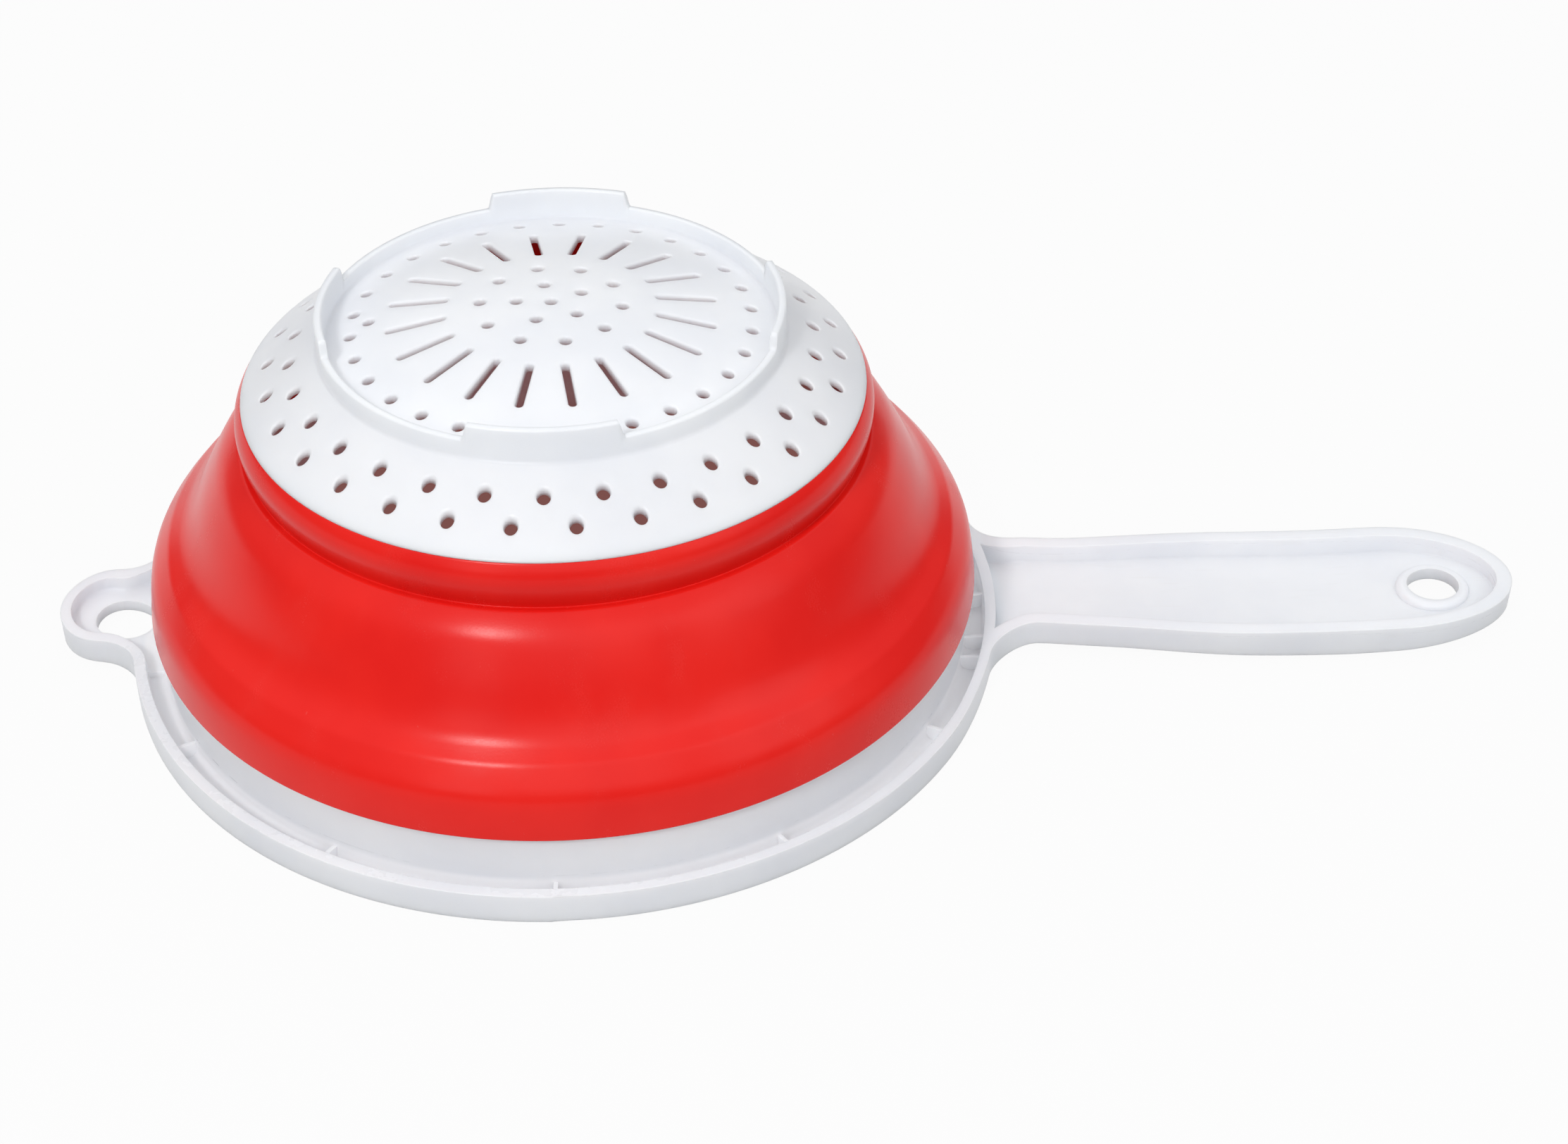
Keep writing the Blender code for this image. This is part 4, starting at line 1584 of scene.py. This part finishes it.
    def rim(self, shape: Shape, top_r: float, under_r: float) -> None:
        """Add the rounded edge, the ledge and the flange.

        Args:
            shape: the mesh that they are added to.
            top_r: the radius at which the upper face ends.
            under_r: the radius at which the lower face ends.
        """
        soft = self.flange_round
        low = self.flange_low_z
        outer = self.flange_outer_r
        inner = self.flange_inner_r
        ledge_z = self.edge_z - self.ledge_drop
        section = [(top_r, self.height(top_r))]
        pull = (self.edge_r - self.edge_bulge, self.edge_z + self.edge_bulge)
        section += bezier(section[0], pull, (self.edge_r - self.edge_tuck, ledge_z), 4)[1:]
        section += [(outer, ledge_z)]
        section += bezier((outer, low + soft), (outer, low), (outer - soft, low), 3)
        section += bezier((inner + soft, low), (inner, low), (inner, low + soft), 3)
        section += [(inner, self.under(inner) - self.flange_root), (under_r, self.under(under_r))]
        shape.bands([self.ring(shape, r, lambda turn, z=z: z) for r, z in section])

    def build(self) -> bpy.types.Object:
        """Build the base, riding on its own body.

        Returns:
            The finished base.
        """
        shape = Shape()
        inner_r = self.foot_inner_r - self.foot_inner_fillet
        outer_r = self.foot_outer_r + self.foot_outer_fillet
        top_r = self.edge_r - self.edge_round
        under_r = self.flange_inner_r - self.flange_fillet
        self.sheet(shape, (0.0, inner_r), self.height, 1.0)
        self.sheet(shape, (outer_r, top_r), self.height, 1.0)
        self.sheet(shape, (0.0, under_r), self.under, self.lower_share)
        for hole in self.holes():
            self.hole_wall(shape, hole)
        self.foot_ring(shape, inner_r, outer_r)
        self.rim(shape, top_r, under_r)
        item = shape.place("strainer_base_moulding")
        wear(item, self.material, Slot.WHITE, (Node.STRAINER_BASE,))
        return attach(item, Body.BASE.value)


@dataclass(frozen=True)
class Lamp:
    """One soft square lamp that points at the bowl."""

    name: str
    place: Point3
    size: float
    power: float

    def build(self, target: Vector) -> None:
        """Add the lamp to the scene.

        Args:
            target: the point that it shines at.
        """
        data = bpy.data.lights.new(self.name, "AREA")
        data.shape = "SQUARE"
        data.size = self.size
        data.energy = self.power
        lamp = bpy.data.objects.new(self.name, data)
        bpy.context.scene.collection.objects.link(lamp)
        lamp.location = self.place
        lamp.rotation_euler = (target - Vector(self.place)).to_track_quat("-Z", "Y").to_euler()


@dataclass
class Studio:
    """The floor, the world, the lamps and the camera.

    The camera's focal length, its picture's size and the bowl's axis in the picture are in pixels,
    and its angles are in radians.
    """

    floor_size: float = 24.0
    floor_drop: float = 0.15 * MM
    sky_colour: Colour = (0.97, 0.985, 1.0)
    sky_high: float = 0.9
    sky_low: float = 0.12
    sky_rise: float = 0.9
    image_width: int = 2226
    image_height: int = 1624
    focal: float = 3500.0
    sensor_width: float = 36.0
    nearest: float = 10.0 * MM
    distance: float = 676.33 * MM
    elevation: float = 0.64873
    azimuth: float = math.radians(-2.4)
    roll: float = 0.0051044
    axis_pixel: Point2 = (810.3, 882.9)
    lamp_target: Point3 = (BOWL_X, 0.0, 50.0 * MM)
    lamps: tuple[Lamp, ...] = (
        Lamp("key_lamp", (-0.45, -0.85, 0.95), 0.18, 4.8),
        Lamp("low_lamp", (-0.56, -1.1, 0.5), 0.35, 0.5),
        Lamp("front_lamp", (0.1, -1.1, 0.9), 0.9, 1.8),
        Lamp("fill_lamp", (0.95, -0.65, 0.8), 0.8, 1.9),
        Lamp("back_lamp", (-0.2, 0.95, 1.05), 0.9, 1.2),
    )

    def floor(self) -> None:
        """Add the floor just under the rim."""
        half = self.floor_size / 2.0
        shape = Shape()
        corners = ((-half, -half), (half, -half), (half, half), (-half, half))
        shape.faces.append(tuple(shape.loop([(x, y, -self.floor_drop) for x, y in corners])))
        item = shape.place("studio_floor")
        item.data.materials.append(PaleFloor().build())

    def world(self) -> None:
        """Set a pale world that is brighter overhead than at its horizon, and white to the camera."""
        world = bpy.data.worlds.new("studio_world")
        bpy.context.scene.world = world
        graph = Graph(world)
        graph.feed(graph.shader.inputs["Color"], (*self.sky_colour, 1.0))
        _, _, rise = graph.axes(graph.output("ShaderNodeTexCoord", {}, {}, "Generated"))
        strength = self.sky_low + rise.ramp(0.0, self.sky_rise) * (self.sky_high - self.sky_low)
        graph.feed(graph.shader.inputs["Strength"], strength)
        white = graph.plain("ShaderNodeBackground", (1.0, 1.0, 1.0))
        seen = graph.node("ShaderNodeLightPath", {}, {}).outputs["Is Camera Ray"]
        sky = graph.blend(seen, graph.shader.outputs[0], white)
        graph.feed(graph.surface.inputs["Surface"], sky)

    def camera(self) -> None:
        """Add the camera, placed so that the bowl's axis meets the floor at its pixel."""
        level, rise = math.cos(self.elevation), math.sin(self.elevation)
        back = Vector((math.sin(self.azimuth) * level, -math.cos(self.azimuth) * level, rise))
        right = Vector((math.cos(self.azimuth), math.sin(self.azimuth), 0.0))
        up = back.cross(right)
        turn, lean = math.cos(self.roll), math.sin(self.roll)
        axes = (turn * right + lean * up, turn * up - lean * right, back)
        scale = self.distance / self.focal
        across = (self.axis_pixel[0] - self.image_width / 2.0) * scale
        down = (self.axis_pixel[1] - self.image_height / 2.0) * scale
        place = axes[0] * -across + axes[1] * down + axes[2] * self.distance
        data = bpy.data.cameras.new("photo_camera")
        data.sensor_fit = "HORIZONTAL"
        data.sensor_width = self.sensor_width
        data.lens = self.focal * self.sensor_width / self.image_width
        data.clip_start = self.nearest
        item = bpy.data.objects.new("photo_camera", data)
        bpy.context.scene.collection.objects.link(item)
        matrix = Matrix(axes).transposed().to_4x4()
        matrix.translation = place + Vector((BOWL_X, 0.0, 0.0))
        item.matrix_world = matrix
        bpy.context.scene.camera = item

    def build(self) -> None:
        """Add everything round the object."""
        self.floor()
        self.world()
        for lamp in self.lamps:
            lamp.build(Vector(self.lamp_target))
        self.camera()
        bpy.context.scene.view_settings.view_transform = "Standard"


def main() -> None:
    """Build the colander and the studio round it."""
    logging.basicConfig(level=logging.INFO, format="%(message)s")
    white = WhitePlastic().build()
    red = RedElastomer().build()
    for piece in (RimFrame(white), SoftWall(red), StrainerBase(white)):
        item = piece.build()
        LOG.info("built %s", item.name)
    Studio().build()


if __name__ == "__main__":
    main()
